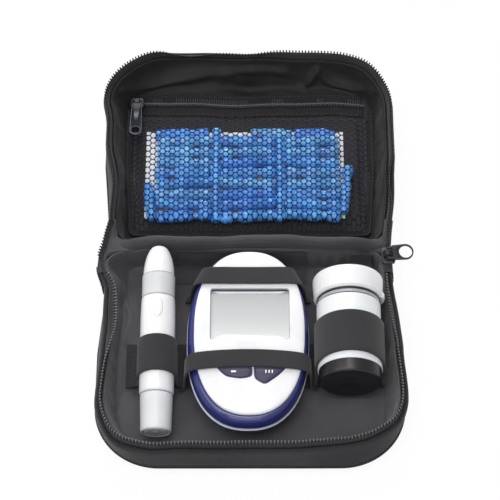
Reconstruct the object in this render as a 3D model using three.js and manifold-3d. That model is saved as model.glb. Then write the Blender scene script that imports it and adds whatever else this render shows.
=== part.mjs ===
import * as THREE from 'three';
import { mergeVertices } from 'three/addons/utils/BufferGeometryUtils.js';
import Module from 'manifold-3d';

const wasm = await Module();
wasm.setup();

// Millimetres, Z up. The case lies open and flat. Pieces are built with the fold line at
// Y = 0, the tray towards -Y and the lid towards +Y, both resting on Z = 0. The finished
// group is moved so that the origin is the centre of the tray's flat base.

// Spacing shared by all pieces
const fit_gap = 0.3;
const cut_overrun = 2;

// Case halves
const case_width = 138;
const half_depth = 106;
const wall_height = 14.5;
const corner_radius = 29;
const back_corner_radius = 9;
const taper = 4.4;
const taper_end = 50;
const fold_gap = 0.3;
const shell_wall = 1.6;
const shell_floor = 1.3;
const bottom_edge_radius = 5;
const back_rise = 2.4;
const back_rise_margin = 22;
const back_rise_half = case_width / 2 - back_rise_margin;
const back_rise_fade = 6;

// Lining pan inside each half
const lining_top_inset = 4;
const lining_top_wall = 1.2;
const lining_floor_inset = 8.5;
const lining_floor = 0.9;
const lining_rise = 0.8;
const lining_height = wall_height + lining_rise;
const lining_back_inset = 2.2;
const lining_back_wall = 1.2;
const lining_bend = 2.4;
const lining_base = shell_floor + fit_gap;
const floor_top = lining_base + lining_floor;
const floor_half = case_width / 2 - lining_floor_inset;
const band_base = floor_top + fit_gap;

// Zipper round three sides
const zip_inset = 2.7;
const zip_start = 14;
const tape_thick = 0.9;
const tape_drop = 4.5;
const tape_bottom = wall_height - tape_drop;
const tape_rise = 2.4;
const tape_top = wall_height + tape_rise;
const tooth_pitch = 3.2;
const tooth_width = 2;
const tooth_base = tape_top + fit_gap;
const tooth_root = 0.7;
const tooth_valley = tooth_base + tooth_root;
const tooth_height = 1.3;
const tooth_peak = tooth_valley + tooth_height;

// Fold roll along the hinge line
const roll_radius = 2.6;
const roll_gap = 0.5;
const hinge_height = wall_height + back_rise + roll_gap + roll_radius;
const roll_length = 2 * back_rise_half;

// Sewn end tabs of the zipper tape
const tab_length = 6.6;
const tab_width = 10.5;
const tab_thick = 1.1;
const tab_drop = 1.9;
const tab_height = wall_height - tab_drop;
const tab_side_margin = 13;
const tab_x = case_width / 2 - tab_side_margin;
const left_tab_depth = 11;
const left_tab_height = 6.5;
const left_tab_base = 7;
const left_tab_start = 10;

// Main slider and its pull with the ring
const slider_v = 8;
const slider_length = 10;
const slider_nose_share = 0.64;
const slider_plate = 1;
const slider_inner_half = 3;
const slider_outer_half = 4.6;
const slider_side_gap = 0.35;
const slider_flange_bottom_gap = 0.6;
const bail_height = 3.1;
const bail_half = 1.6;
const bail_length = 3.4;
const pull_pin_radius = 0.55;
const pull_pin_rise = 1.8;
const pull_thick = 1.3;
const pull_width = 7;
const pull_tab_length = 2.3;
const pull_fork = 3.5;
const pull_fork_reach = 1.2;
const ring_outer = 3.95;
const ring_hole = 2.95;

// Mesh pocket in the lid
const pocket_side_margin = 12.6;
const pocket_half_width = case_width / 2 - pocket_side_margin;
const pocket_near = 12;
const pocket_far_margin = 26.4;
const pocket_far = half_depth - pocket_far_margin;
const binding_width = 3.2;
const binding_thick = 1.1;
const net_thick = 0.8;
const net_rest = 3.9;
const net_crown = 9.7;
const net_flat_side = 5.2;
const net_margin_side = 5.2;
const net_margin_near = 7.6;
const net_margin_far = 10.5;
const net_cell_width = 10.4;
const net_cell_height = 8.8;
const net_strand = 0.55;
const pocket_tape_width = 4.8;
const pocket_upper_inset = 3.4;
const pocket_upper_half = pocket_half_width - pocket_upper_inset;
const pocket_tape_thick = 0.8;
const coil_beyond = 6.4;
const coil_v = pocket_far + coil_beyond;
const coil_width = 2.2;
const coil_base = 3.2;
const coil_valley = 4.2;
const coil_peak = 4.9;
const coil_pitch = 2.5;
const coil_inset = 0.4;
const coil_half_length = pocket_half_width - coil_inset;

// Pocket slider and pull tab
const pocket_slider_inset = 2.8;
const pocket_slider_x = pocket_slider_inset - pocket_half_width;
const pocket_slider_length = 8;
const pocket_slider_half = 3.1;
const pocket_slider_top = 1;
const pocket_slider_flange = 0.9;
const pocket_slider_flange_drop = 1.3;
const pocket_bail_height = 2.6;
const pocket_bail_half = 1.5;
const pocket_bail_length = 2.8;
const pocket_pull_length = 23;
const pocket_pull_lift = 13;
const pocket_pull_width = 6;
const pocket_pull_thick = 1.3;
const pocket_pull_hole = 1.5;
const pocket_pull_hole_length = 2.4;
const pocket_pull_slot = 2.1;
const pocket_pull_slot_length = 2.2;
const pocket_pull_reach = 0.75;

// Card and lancets kept in the pocket
const card_width_share = 0.8422;
const card_width = 2 * pocket_half_width * card_width_share;
const card_height_share = 0.725;
const card_height = (pocket_far - pocket_near) * card_height_share;
const card_thick = 0.5;
const card_top = band_base + card_thick;
const card_x = -2.5;
const lancet_shift = 1.5;
const card_near_gap = 9.5;
const card_near = pocket_near + card_near_gap;
const lancet_cap_length = 5.5;
const lancet_neck_length = 2.6;
const lancet_column_share = 0.321;
const lancet_column_pitch = card_width * lancet_column_share;
const lancet_end_gap = 4.5;
const lancet_length = lancet_column_pitch - lancet_end_gap;
const lancet_near_gap = 6;
const lancet_near = card_near + lancet_near_gap;
const lancet_columns = 3;
const lancet_rows = 4;
const lancet_far_gap = 16.7;
const lancet_row_pitch = (pocket_far - lancet_far_gap - lancet_near) / (lancet_rows - 1);
const net_lancet_gap = 0.5;
const lancet_radius = (net_crown - net_lancet_gap - card_top - fit_gap) / 2;
const lancet_neck_share = 0.6786;
const lancet_neck = lancet_radius * lancet_neck_share;
const lancet_edge_share = 0.25;
const lancet_edge = lancet_radius * lancet_edge_share;
const lancet_sway_share = 0.671;
const lancet_sway = lancet_sway_share * (lancet_row_pitch - 2 * lancet_radius) / lancet_length;
const lancet_sides = 8;

// Elastic bands sewn to the tray floor
const band_v_share = 0.5283;
const band_v = half_depth * band_v_share;
const band_width_share = 0.2075;
const band_width = half_depth * band_width_share;
const band_thick = 0.8;
const band_left_margin = 4.5;
const band_left = band_left_margin - floor_half;
const band_right_margin = 0.5;
const band_right = floor_half - band_right_margin;
const loop_thick = 1.1;
const loop_flange = 3;
const loop_slack = 0.4;

// Test strip vial, placed from the right wall
const vial_body_share = 0.2314;
const vial_body_radius = floor_half * vial_body_share;
const vial_cap_proud = 2;
const vial_cap_radius = vial_body_radius + vial_cap_proud;
const vial_cap_v_share = 0.1887;
const vial_cap_v = half_depth * vial_cap_v_share;
const vial_cap_length_share = 0.1038;
const vial_cap_length = half_depth * vial_cap_length_share;
const vial_body_length_share = 0.3868;
const vial_body_length = half_depth * vial_body_length_share;
const vial_wall = 1.4;
const vial_edge = 1;
const vial_plug_length = 4;
const vial_plug_gap = 0.4;
const vial_label_gap = 0.3;
const vial_label_thick = 0.35;
const vial_label_start = 2.2;
const vial_label_share = 0.805;
const vial_label_length = vial_body_length * vial_label_share;
const vial_thumb_width = 7;
const vial_thumb_reach = 0.9;
const vial_thumb_length = 3;
const vial_sides = 28;
const vial_loop_outer = vial_body_radius + vial_label_gap + vial_label_thick + loop_slack + loop_thick;
const vial_x = floor_half - vial_loop_outer;
const strip_width = 6;
const strip_share = 0.756;
const strip_length = vial_body_length * strip_share;
const strip_stack_share = 0.643;
const strip_stack = vial_body_radius * strip_stack_share;

// Glucose meter, as wide as the vial's loop leaves room for
const meter_x = -0.9;
const strap_thick = 0.8;
const strap_side_gap = 0.45;
const strap_lower_half = vial_x - vial_loop_outer - meter_x - strap_thick - strap_side_gap;
const meter_strap_gap = 0.5;
const meter_half_width = strap_lower_half - meter_strap_gap;
const meter_half_length_share = 0.4094;
const meter_half_length = half_depth * meter_half_length_share;
const meter_back_gap = 5.4;
const meter_v = meter_half_length + meter_back_gap;
const meter_power = 2.35;
const meter_steps = 36;
const meter_base_inset = 7;
const meter_base_step = 3;
const meter_base_step_height = 0.9;
const meter_belly_inset = 0.5;
const meter_belly_height = 4;
const meter_split = 8.5;
const meter_wall = 1.8;
const meter_trim_height = 0.8;
const meter_trim_proud = 0.15;
const meter_shoulder_inset = 0.4;
const meter_shoulder_rise = 4.1;
const meter_shoulder_height = meter_split + meter_shoulder_rise;
const meter_crest_inset = 1.4;
const meter_crest_rise = 2.6;
const meter_crest_height = meter_shoulder_height + meter_crest_rise;
const meter_rim_inset = 2.7;
const meter_rim_rise = 1.4;
const meter_rim_height = meter_crest_height + meter_rim_rise;
const meter_shelf_inset = 3.9;
const meter_shelf_height = meter_crest_height;
const meter_shelf_thick = 1.2;
const face_edge_rise = 0.4;
const face_edge_height = meter_rim_height + face_edge_rise;
const face_bevel_inset = 0.7;
const face_bevel_rise = 0.6;
const face_bevel_height = face_edge_height + face_bevel_rise;
const face_dome_inset = 7;
const face_dome_rise = 0.5;
const face_dome_height = face_bevel_height + face_dome_rise;
const face_top_rise = 0.3;
const face_top_height = face_dome_height + face_top_rise;
const window_width_share = 1.314;
const window_width = meter_half_width * window_width_share;
const window_height_share = 0.6106;
const window_height = meter_half_length * window_height_share;
const window_v_share = 0.2396;
const window_v = meter_v - meter_half_length * window_v_share;
const window_radius = 2.2;
const screen_margin = 0.8;
const screen_thick = 1.5;
const lens_thick = 0.8;
const lens_recess = 2;
const button_far_share = 0.295;
const button_far = meter_v + meter_half_length * button_far_share;
const button_near_share = 0.5207;
const button_near = meter_v + meter_half_length * button_near_share;
const button_tip_share = 0.5576;
const button_tip = meter_v + meter_half_length * button_tip_share;
const button_left_share = 0.5693;
const button_left = -meter_half_width * button_left_share;
const button_right_share = 0.562;
const button_right = meter_half_width * button_right_share;
const button_split = 1;
const button_gap = 0.35;
const button_sink = 3.8;
const button_under = face_top_height - button_sink;
const button_proud = 0.1;
const button_top = face_top_height + button_proud;
const button_corner = 2;

// Straps over the meter
const strap_width = 9.5;
const strap_upper_share = 0.682;
const strap_upper_v = meter_v - meter_half_length * strap_upper_share;
const strap_lower_share = 0.3226;
const strap_lower_v = meter_v + meter_half_length * strap_lower_share;
const strap_upper_half_share = 0.8978;
const strap_upper_half = meter_half_width * strap_upper_half_share;
const strap_corner = 7;
const strap_flange = 2;

// Panel behind the meter
const patch_left_past = 6.1;
const patch_left = -strap_lower_half - patch_left_past;
const patch_right_short = 1.9;
const patch_right = strap_lower_half - patch_right_short;
const patch_thick = 0.8;
const patch_rise = 1.5;
const patch_top = wall_height + patch_rise;
const patch_reach = 9;

// Lancing pen beside the meter, measured from its rear end
const pen_barrel_share = 0.1372;
const pen_barrel_radius = floor_half * pen_barrel_share;
const pen_loop_inner = pen_barrel_radius + loop_slack;
const pen_side_gap = 2.1;
const pen_x = meter_x - strap_lower_half - strap_thick - pen_side_gap - pen_loop_inner - loop_thick;
const pen_length_share = 0.8208;
const pen_length = half_depth * pen_length_share;
const pen_back_gap = 5.3;
const pen_rear_v = pen_length + pen_back_gap;
const pen_tilt = 6.5;
const pen_sleeve_share = 0.2011;
const pen_sleeve_length = pen_length * pen_sleeve_share;
const pen_ring_start_share = 0.7299;
const pen_ring_start = pen_length * pen_ring_start_share;
const pen_ring_end_share = 0.8529;
const pen_ring_end = pen_length * pen_ring_end_share;
const pen_rear_share = 0.8554;
const pen_rear_radius = pen_barrel_radius * pen_rear_share;
const pen_sleeve_radius_share = 0.9277;
const pen_sleeve_radius = pen_barrel_radius * pen_sleeve_radius_share;
const pen_waist_share = 0.9157;
const pen_waist_radius = pen_barrel_radius * pen_waist_share;
const pen_ring_share = 0.9036;
const pen_ring_radius = pen_barrel_radius * pen_ring_share;
const pen_tip_share = 0.8434;
const pen_tip_radius = pen_barrel_radius * pen_tip_share;
const pen_nose_share = 0.4458;
const pen_nose_radius = pen_barrel_radius * pen_nose_share;
const pen_end_share = 0.6506;
const pen_end_radius = pen_barrel_radius * pen_end_share;
const pen_floor_gap = 1;
const pen_rear_height = floor_top + pen_floor_gap + pen_rear_radius;
const pen_mouth_radius = 1.1;
const pen_mouth_depth = 6;
const pen_edge = 0.8;
const pen_tip_shoulder = 6;
const pen_end_depth = 2;
const pen_end_proud = 0.6;
const pen_joint_gap = 0.35;
const pen_button_width = 5;
const pen_button_start_share = 0.592;
const pen_button_start = pen_length * pen_button_start_share;
const pen_button_length_share = 0.1241;
const pen_button_length = pen_length * pen_button_length_share;
const pen_button_sink = 1.4;
const pen_button_proud = 0.9;
const pen_sides = 20;

const tray_centre = (half_depth + fold_gap) / 2;
const group = new THREE.Group();
group.name = 'glucose_meter_case';

// Turns a face list outward when its signed volume is negative
function faced(geometry) {
  const position = geometry.getAttribute('position');
  const index = Array.from(geometry.index.array);
  const a = new THREE.Vector3();
  const b = new THREE.Vector3();
  const c = new THREE.Vector3();
  let volume = 0;
  for (let i = 0; i < index.length; i += 3) {
    a.fromBufferAttribute(position, index[i]);
    b.fromBufferAttribute(position, index[i + 1]);
    c.fromBufferAttribute(position, index[i + 2]);
    volume += a.dot(b.cross(c));
  }
  if (volume < 0) {
    for (let i = 0; i < index.length; i += 3) {
      const keep = index[i + 1];
      index[i + 1] = index[i + 2];
      index[i + 2] = keep;
    }
    geometry.setIndex(index);
  }
  return geometry;
}

function welded(geometry) {
  const bare = geometry.clone();
  bare.deleteAttribute('normal');
  bare.deleteAttribute('uv');
  const joined = mergeVertices(bare);
  const index = joined.index.array;
  const kept = [];
  for (let i = 0; i < index.length; i += 3) {
    const [a, b, c] = [index[i], index[i + 1], index[i + 2]];
    if (a !== b && b !== c && a !== c) {
      kept.push(a, b, c);
    }
  }
  joined.setIndex(kept);
  return faced(joined);
}

function solidOf(geometry) {
  const joined = welded(geometry);
  return new wasm.Manifold(new wasm.Mesh({
    numProp: 3,
    vertProperties: Float32Array.from(joined.getAttribute('position').array),
    triVerts: Uint32Array.from(joined.index.array),
  }));
}

function geometryOf(solid) {
  const mesh = solid.getMesh();
  const geometry = new THREE.BufferGeometry();
  geometry.setAttribute('position', new THREE.BufferAttribute(new Float32Array(mesh.vertProperties), 3));
  geometry.setIndex(Array.from(mesh.triVerts));
  return geometry;
}

function cut(geometry, ...tools) {
  let solid = solidOf(geometry);
  for (const tool of tools) {
    solid = solid.subtract(solidOf(tool));
  }
  return geometryOf(solid);
}

function joined(geometry, ...others) {
  let solid = solidOf(geometry);
  for (const other of others) {
    solid = solid.add(solidOf(other));
  }
  return geometryOf(solid);
}

function add(name, geometry, look) {
  const finished = welded(geometry);
  finished.translate(0, tray_centre, 0);
  finished.computeVertexNormals();
  const [color, roughness, metalness] = look;
  const mesh = new THREE.Mesh(finished, new THREE.MeshStandardMaterial({ color, roughness, metalness }));
  mesh.name = name;
  group.add(mesh);
  return mesh;
}

// Materials as colour, roughness and metalness
const nylon = ['#26262a', 0.85, 0];
const satin_lining = ['#4c4c50', 0.6, 0];
const tape_cloth = ['#1d1d20', 0.8, 0];
const tooth_plastic = ['#3a3b3f', 0.45, 0];
const elastic = ['#464648', 0.85, 0];
const matte_panel = ['#313234', 0.9, 0];
const gunmetal = ['#55575c', 0.35, 0.9];
const net_cord = ['#222226', 0.7, 0];
const card_paper = ['#eef0f3', 0.7, 0];
const lancet_blue = ['#2f7ee0', 0.4, 0];
const meter_blue = ['#25307e', 0.25, 0];
const trim_grey = ['#c9cacf', 0.4, 0];
const face_white = ['#f2f2f4', 0.35, 0];
const screen_grey = ['#b4b6b8', 0.3, 0];
const lens_clear = ['#c9cbcd', 0.1, 0];
const button_plum = ['#3a3550', 0.5, 0];
const pen_white = ['#f4f4f5', 0.35, 0];
const pen_grey = ['#c2c4c6', 0.4, 0];
const vial_black = ['#17171a', 0.4, 0];
const label_white = ['#f0f1f3', 0.5, 0];
const cap_white = ['#f6f6f7', 0.35, 0];
const strip_cream = ['#e9e4d4', 0.6, 0];

// Outline of one case half at a given inset, as points counter-clockwise from above.
// v is the distance from the fold line.
const arc_steps = 8;
const back_arc_steps = 3;

function halfOutline(inset, backInset) {
  const half = case_width / 2 - inset;
  const near = fold_gap + backInset;
  const far = half_depth - inset;
  const front = corner_radius - inset;
  const back = back_corner_radius - backInset;
  const points = [];
  const arc = (x, v, radius, from, steps) => {
    for (let i = 0; i <= steps; i += 1) {
      const angle = from + (i / steps) * Math.PI / 2;
      points.push([x + radius * Math.cos(angle), v + radius * Math.sin(angle)]);
    }
  };
  const side = (x) => points.push([x, taper_end]);
  const quarter = Math.PI / 2;
  arc(half - back, near + back, back, -quarter, back_arc_steps);
  side(half);
  arc(half - front, far - front, front, 0, arc_steps);
  arc(front - half, far - front, front, quarter, arc_steps);
  side(-half);
  arc(back - half, near + back, back, 2 * quarter, back_arc_steps);
  // The back edge gets its own points where the wall rises to the fold roll
  points.push([-back_rise_half - back_rise_fade, near]);
  points.push([-back_rise_half, near]);
  points.push([back_rise_half, near]);
  points.push([back_rise_half + back_rise_fade, near]);
  return points;
}

// The case narrows towards its fold: x is drawn in by a share that ends at taper_end
const taper_share = 2 * taper / case_width;
const tapered = (x, v) => x * (1 - taper_share * Math.max(1 - v / taper_end, 0));

function taperedGeometry(geometry) {
  const position = geometry.getAttribute('position');
  for (let i = 0; i < position.count; i += 1) {
    position.setX(i, tapered(position.getX(i), Math.abs(position.getY(i))));
  }
  return geometry;
}

// Skins a list of equal rings of [x, y, z] points; caps close the first and the last ring
function skinned(rings, capped) {
  const count = rings[0].length;
  const positions = rings.flat(2);
  const index = [];
  const last = capped ? rings.length - 1 : rings.length;
  for (let k = 0; k < last; k += 1) {
    const next = (k + 1) % rings.length;
    for (let j = 0; j < count; j += 1) {
      const a = k * count + j;
      const b = k * count + (j + 1) % count;
      const c = next * count + (j + 1) % count;
      const d = next * count + j;
      index.push(a, b, c, a, c, d);
    }
  }
  if (capped) {
    for (const k of [0, rings.length - 1]) {
      const ring = rings[k];
      const middle = positions.length / 3;
      for (let axis = 0; axis < 3; axis += 1) {
        positions.push(ring.reduce((sum, point) => sum + point[axis], 0) / count);
      }
      for (let j = 0; j < count; j += 1) {
        const a = k * count + j;
        const b = k * count + (j + 1) % count;
        if (k === 0) {
          index.push(middle, b, a);
        } else {
          index.push(middle, a, b);
        }
      }
    }
  }
  const geometry = new THREE.BufferGeometry();
  geometry.setAttribute('position', new THREE.BufferAttribute(new Float32Array(positions), 3));
  geometry.setIndex(index);
  return faced(geometry);
}

// A pan from profile steps of inset, back inset, height and share of the rise at the fold
function pan(sign, profile) {
  const rings = profile.map(([inset, backInset, height, lift]) => (
    halfOutline(inset, backInset).map(([x, v], j, all) => {
      const raised = j === all.length - 3 || j === all.length - 2;
      return [tapered(x, v), sign * v, height + (raised ? lift * back_rise : 0)];
    })
  ));
  return skinned(rings, true);
}

function shellProfile() {
  const steps = 3;
  const profile = [];
  const inner = bottom_edge_radius - shell_floor;
  for (let i = 0; i <= steps; i += 1) {
    const angle = (i / steps) * Math.PI / 2;
    const inset = bottom_edge_radius * (1 - Math.sin(angle));
    profile.push([inset, Math.min(inset, shell_floor), bottom_edge_radius * (1 - Math.cos(angle)), 0]);
  }
  profile.push([0, 0, wall_height, 1]);
  profile.push([shell_wall, shell_wall, wall_height, 1]);
  for (let i = steps; i >= 0; i -= 1) {
    const angle = (i / steps) * Math.PI / 2;
    const inset = shell_wall + inner * (1 - Math.sin(angle));
    const height = shell_floor + inner * (1 - Math.cos(angle));
    profile.push([inset, shell_wall, height, 0]);
  }
  return profile;
}


function liningProfile() {
  const outer_floor = lining_floor_inset - lining_top_wall;
  return [
    [outer_floor, lining_back_inset, lining_base, 0],
    [outer_floor - lining_bend, lining_back_inset, lining_base + lining_bend, 0],
    [lining_top_inset, lining_back_inset, lining_height, 1],
    [lining_top_inset + lining_top_wall, lining_back_inset + lining_back_wall, lining_height, 1],
    [lining_floor_inset - lining_bend, lining_back_inset + lining_back_wall, floor_top + lining_bend, 0],
    [lining_floor_inset, lining_back_inset + lining_back_wall, floor_top, 0],
  ];
}

// Path of the zipper: right side, front, left side
function rimPath() {
  const half = case_width / 2 - zip_inset;
  const far = half_depth - zip_inset;
  const radius = corner_radius - zip_inset;
  const path = new THREE.Path();
  path.moveTo(tapered(half, zip_start), zip_start);
  path.lineTo(half, taper_end);
  path.lineTo(half, far - radius);
  path.absarc(half - radius, far - radius, radius, 0, Math.PI / 2, false);
  path.lineTo(radius - half, far);
  path.absarc(radius - half, far - radius, radius, Math.PI / 2, Math.PI, false);
  path.lineTo(-half, taper_end);
  path.lineTo(-tapered(half, zip_start), zip_start);
  return path;
}

// Sweeps a section of [offset, height] points along a list of plan points
function swept(points, sectionAt, sign) {
  const rings = points.map((point, i) => {
    const before = points[Math.max(i - 1, 0)];
    const after = points[Math.min(i + 1, points.length - 1)];
    const along = new THREE.Vector2().subVectors(after, before).normalize();
    return sectionAt(i).map(([offset, height]) => (
      [point.x - along.y * offset, sign * (point.y + along.x * offset), height]
    ));
  });
  return skinned(rings, true);
}

function tapeStrip(sign) {
  const points = rimPath().getPoints(arc_steps);
  const half = tape_thick / 2;
  const section = [[-half, tape_bottom], [half, tape_bottom], [half, tape_top], [-half, tape_top]];
  return swept(points, () => section, sign);
}

function toothChain(sign) {
  const path = rimPath();
  const teeth = Math.round(path.getLength() / tooth_pitch);
  const points = path.getSpacedPoints(2 * teeth);
  const half = tooth_width / 2;
  return swept(points, (i) => {
    const top = i % 2 ? tooth_peak : tooth_valley;
    return [[-half, tooth_base], [half, tooth_base], [half, top], [-half, top]];
  }, sign);
}

for (const [half_name, sign] of [['tray', -1], ['lid', 1]]) {
  add(`${half_name}_shell`, pan(sign, shellProfile()), nylon);
  add(`${half_name}_lining`, pan(sign, liningProfile()), satin_lining);
  add(`${half_name}_zip_tape`, tapeStrip(sign), tape_cloth);
  add(`${half_name}_zip_teeth`, toothChain(sign), tooth_plastic);
}

// A block between two corners
function block(x0, x1, y0, y1, z0, z1) {
  const geometry = new THREE.BoxGeometry(x1 - x0, y1 - y0, z1 - z0);
  geometry.translate((x0 + x1) / 2, (y0 + y1) / 2, (z0 + z1) / 2);
  return geometry;
}

function plate(shape, z0, z1, segments) {
  const geometry = new THREE.ExtrudeGeometry(shape, {
    depth: z1 - z0,
    bevelEnabled: false,
    curveSegments: segments,
  });
  geometry.translate(0, 0, z0);
  return geometry;
}

function roundedShape(x0, x1, y0, y1, radius) {
  const shape = new THREE.Shape();
  const quarter = Math.PI / 2;
  shape.moveTo(x0 + radius, y0);
  shape.lineTo(x1 - radius, y0);
  shape.absarc(x1 - radius, y0 + radius, radius, -quarter, 0, false);
  shape.lineTo(x1, y1 - radius);
  shape.absarc(x1 - radius, y1 - radius, radius, 0, quarter, false);
  shape.lineTo(x0 + radius, y1);
  shape.absarc(x0 + radius, y1 - radius, radius, quarter, 2 * quarter, false);
  shape.lineTo(x0, y0 + radius);
  shape.absarc(x0 + radius, y0 + radius, radius, 2 * quarter, 3 * quarter, false);
  return shape;
}

// Fold roll, carried by the tray
const roll = new THREE.CylinderGeometry(roll_radius, roll_radius, roll_length, 16);
roll.rotateZ(Math.PI / 2);
roll.translate(0, 0, hinge_height);
add('spine_fold', roll, nylon);

// Zipper end tabs
const lining_back_face = fold_gap + lining_back_inset + lining_back_wall;
const tab_near = lining_back_face + fit_gap;
const tab_corner = tab_thick;
const right_tab = plate(roundedShape(
  tab_x - tab_width,
  tab_x,
  -tab_near - tab_length,
  -tab_near,
  tab_corner,
), tab_height, tab_height + tab_thick, 3);
add('zip_end_tab_right', right_tab, tape_cloth);
const left_tab_x = -case_width / 2 - fit_gap;
const left_tab = block(
  left_tab_x - tab_thick,
  left_tab_x,
  -left_tab_start - left_tab_depth,
  -left_tab_start,
  left_tab_base,
  left_tab_base + left_tab_height,
);
add('zip_end_tab_left', taperedGeometry(left_tab), tape_cloth);

// Main slider: a roof over the teeth, a flange down each side of them and a bail on the roof.
// It is drawn with its way along Y and then turned to the slant of the zipper.
const roof_under = tooth_peak + fit_gap;
const roof_over = roof_under + slider_plate;
const plate_in = tooth_width / 2 + slider_side_gap;
const flange_bottom = lining_height + slider_flange_bottom_gap;
const roof_shape = new THREE.Shape();
roof_shape.moveTo(-slider_inner_half, -slider_length / 2);
roof_shape.lineTo(slider_outer_half, -slider_length / 2);
roof_shape.lineTo(slider_outer_half, 0);
roof_shape.lineTo(slider_outer_half * slider_nose_share, slider_length / 2);
roof_shape.lineTo(-slider_inner_half * slider_nose_share, slider_length / 2);
roof_shape.lineTo(-slider_inner_half, 0);
const slider_flanges = [-1, 1].map((side) => {
  const inner = side * plate_in;
  const outer = side * (plate_in + slider_plate);
  const length = slider_length * slider_nose_share;
  return block(
    Math.min(inner, outer),
    Math.max(inner, outer),
    -slider_length / 2,
    length - slider_length / 2,
    flange_bottom,
    roof_over - slider_plate / 2,
  );
});
const bail = block(
  -bail_length / 2,
  bail_length / 2,
  -bail_half,
  bail_half,
  roof_over - slider_plate / 2,
  roof_over + bail_height,
);
const pin_height = roof_over + pull_pin_rise;
const pin_hole = new THREE.CylinderGeometry(
  pull_pin_radius + fit_gap,
  pull_pin_radius + fit_gap,
  2 * bail_half + cut_overrun,
  12,
);
pin_hole.translate(0, 0, pin_height);
const slider_body = joined(plate(roof_shape, roof_under, roof_over, 1), ...slider_flanges, bail);
const zip_half = case_width / 2 - zip_inset;
const zip_x = tapered(zip_half, slider_v);
const slider_turn = Math.atan2(zip_half * taper_share, taper_end);
function placedSlider(geometry) {
  geometry.rotateZ(slider_turn);
  geometry.translate(zip_x, -slider_v, 0);
  return geometry;
}
add('main_slider', placedSlider(cut(slider_body, pin_hole)), gunmetal);

// Pull: fork with a pin through the bail, tab and ring
const fork_inner = bail_half + fit_gap;
const tab_start = -pull_fork_reach;
const tab_end = pull_fork + pull_tab_length;
const ring_x = tab_end + ring_hole;
const pull_shape = roundedShape(tab_start, tab_end, -pull_width / 2, pull_width / 2, pull_fork_reach);
const pull_half = pull_thick / 2;
const ring_disc = new THREE.CylinderGeometry(ring_outer, ring_outer, pull_thick, 24);
ring_disc.rotateX(Math.PI / 2);
ring_disc.translate(ring_x, 0, 0);
const ring_cut = new THREE.CylinderGeometry(ring_hole, ring_hole, pull_thick + cut_overrun, 24);
ring_cut.rotateX(Math.PI / 2);
ring_cut.translate(ring_x, 0, 0);
const fork_cut = block(
  tab_start - cut_overrun,
  pull_fork - pull_fork_reach,
  -fork_inner,
  fork_inner,
  -pull_thick,
  pull_thick,
);
const pull_body = cut(joined(plate(pull_shape, -pull_half, pull_half, 3), ring_disc), ring_cut, fork_cut);
const pull_pin_length = 2 * fork_inner + pull_fork_reach;
const pin = new THREE.CylinderGeometry(pull_pin_radius, pull_pin_radius, pull_pin_length, 12);
const main_pull = joined(pull_body, pin);
main_pull.translate(0, 0, pin_height);
add('main_pull', placedSlider(main_pull), gunmetal);

// Mesh pocket
function bindingShape() {
  const shape = new THREE.Shape();
  const outer = pocket_half_width + binding_width;
  shape.moveTo(-outer, pocket_far);
  shape.lineTo(-outer, pocket_near);
  shape.lineTo(outer, pocket_near);
  shape.lineTo(outer, pocket_far);
  shape.lineTo(pocket_half_width, pocket_far);
  shape.lineTo(pocket_half_width, pocket_near + binding_width);
  shape.lineTo(-pocket_half_width, pocket_near + binding_width);
  shape.lineTo(-pocket_half_width, pocket_far);
  return shape;
}
const binding = plate(bindingShape(), band_base, band_base + binding_thick, 1);
add('pocket_binding', taperedGeometry(binding), tape_cloth);

// A sheet with thickness from plan points and triangles, lifted by a height function
function sheet(cells, heightAt, thick) {
  const keys = new Map();
  const points = [];
  const faces = [];
  const indexOf = ([x, v]) => {
    const key = `${x.toFixed(4)},${v.toFixed(4)}`;
    if (!keys.has(key)) {
      keys.set(key, points.length);
      points.push([x, v]);
    }
    return keys.get(key);
  };
  for (const { contour, hole } of cells) {
    const corners = [...contour, ...hole];
    const toVectors = (list) => list.map(([x, v]) => new THREE.Vector2(x, v));
    for (const face of THREE.ShapeUtils.triangulateShape(toVectors(contour), [toVectors(hole)])) {
      faces.push(face.map((corner) => indexOf(corners[corner])));
    }
  }
  const edges = new Map();
  for (const [a, b, c] of faces) {
    for (const [from, to] of [[a, b], [b, c], [c, a]]) {
      edges.set(`${from},${to}`, [from, to]);
    }
  }
  const count = points.length;
  const index = [];
  for (const [a, b, c] of faces) {
    index.push(a + count, b + count, c + count, a, c, b);
  }
  for (const [from, to] of edges.values()) {
    if (!edges.has(`${to},${from}`)) {
      index.push(from, to, to + count, from, to + count, from + count);
    }
  }
  const positions = [];
  for (const lift of [0, thick]) {
    for (const [x, v] of points) {
      positions.push(x, v, heightAt(x, v) + lift);
    }
  }
  const geometry = new THREE.BufferGeometry();
  geometry.setAttribute('position', new THREE.BufferAttribute(new Float32Array(positions), 3));
  geometry.setIndex(index);
  return faced(geometry);
}

const eased = (share) => {
  const held = Math.min(Math.max(share, 0), 1);
  return held * held * (3 - 2 * held);
};

const net_left = -pocket_half_width + fit_gap;
const net_right = pocket_half_width - fit_gap;
const net_near = pocket_near + binding_width + fit_gap;
const net_far = pocket_far - fit_gap;

function netHeight(x, v) {
  const side = (Math.min(x - net_left, net_right - x) - net_flat_side) / net_margin_side;
  const near = (v - net_near) / net_margin_near;
  const far = (net_far - v) / net_margin_far;
  return net_rest + (net_crown - net_rest) * eased(side) * eased(near) * eased(far);
}

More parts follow.
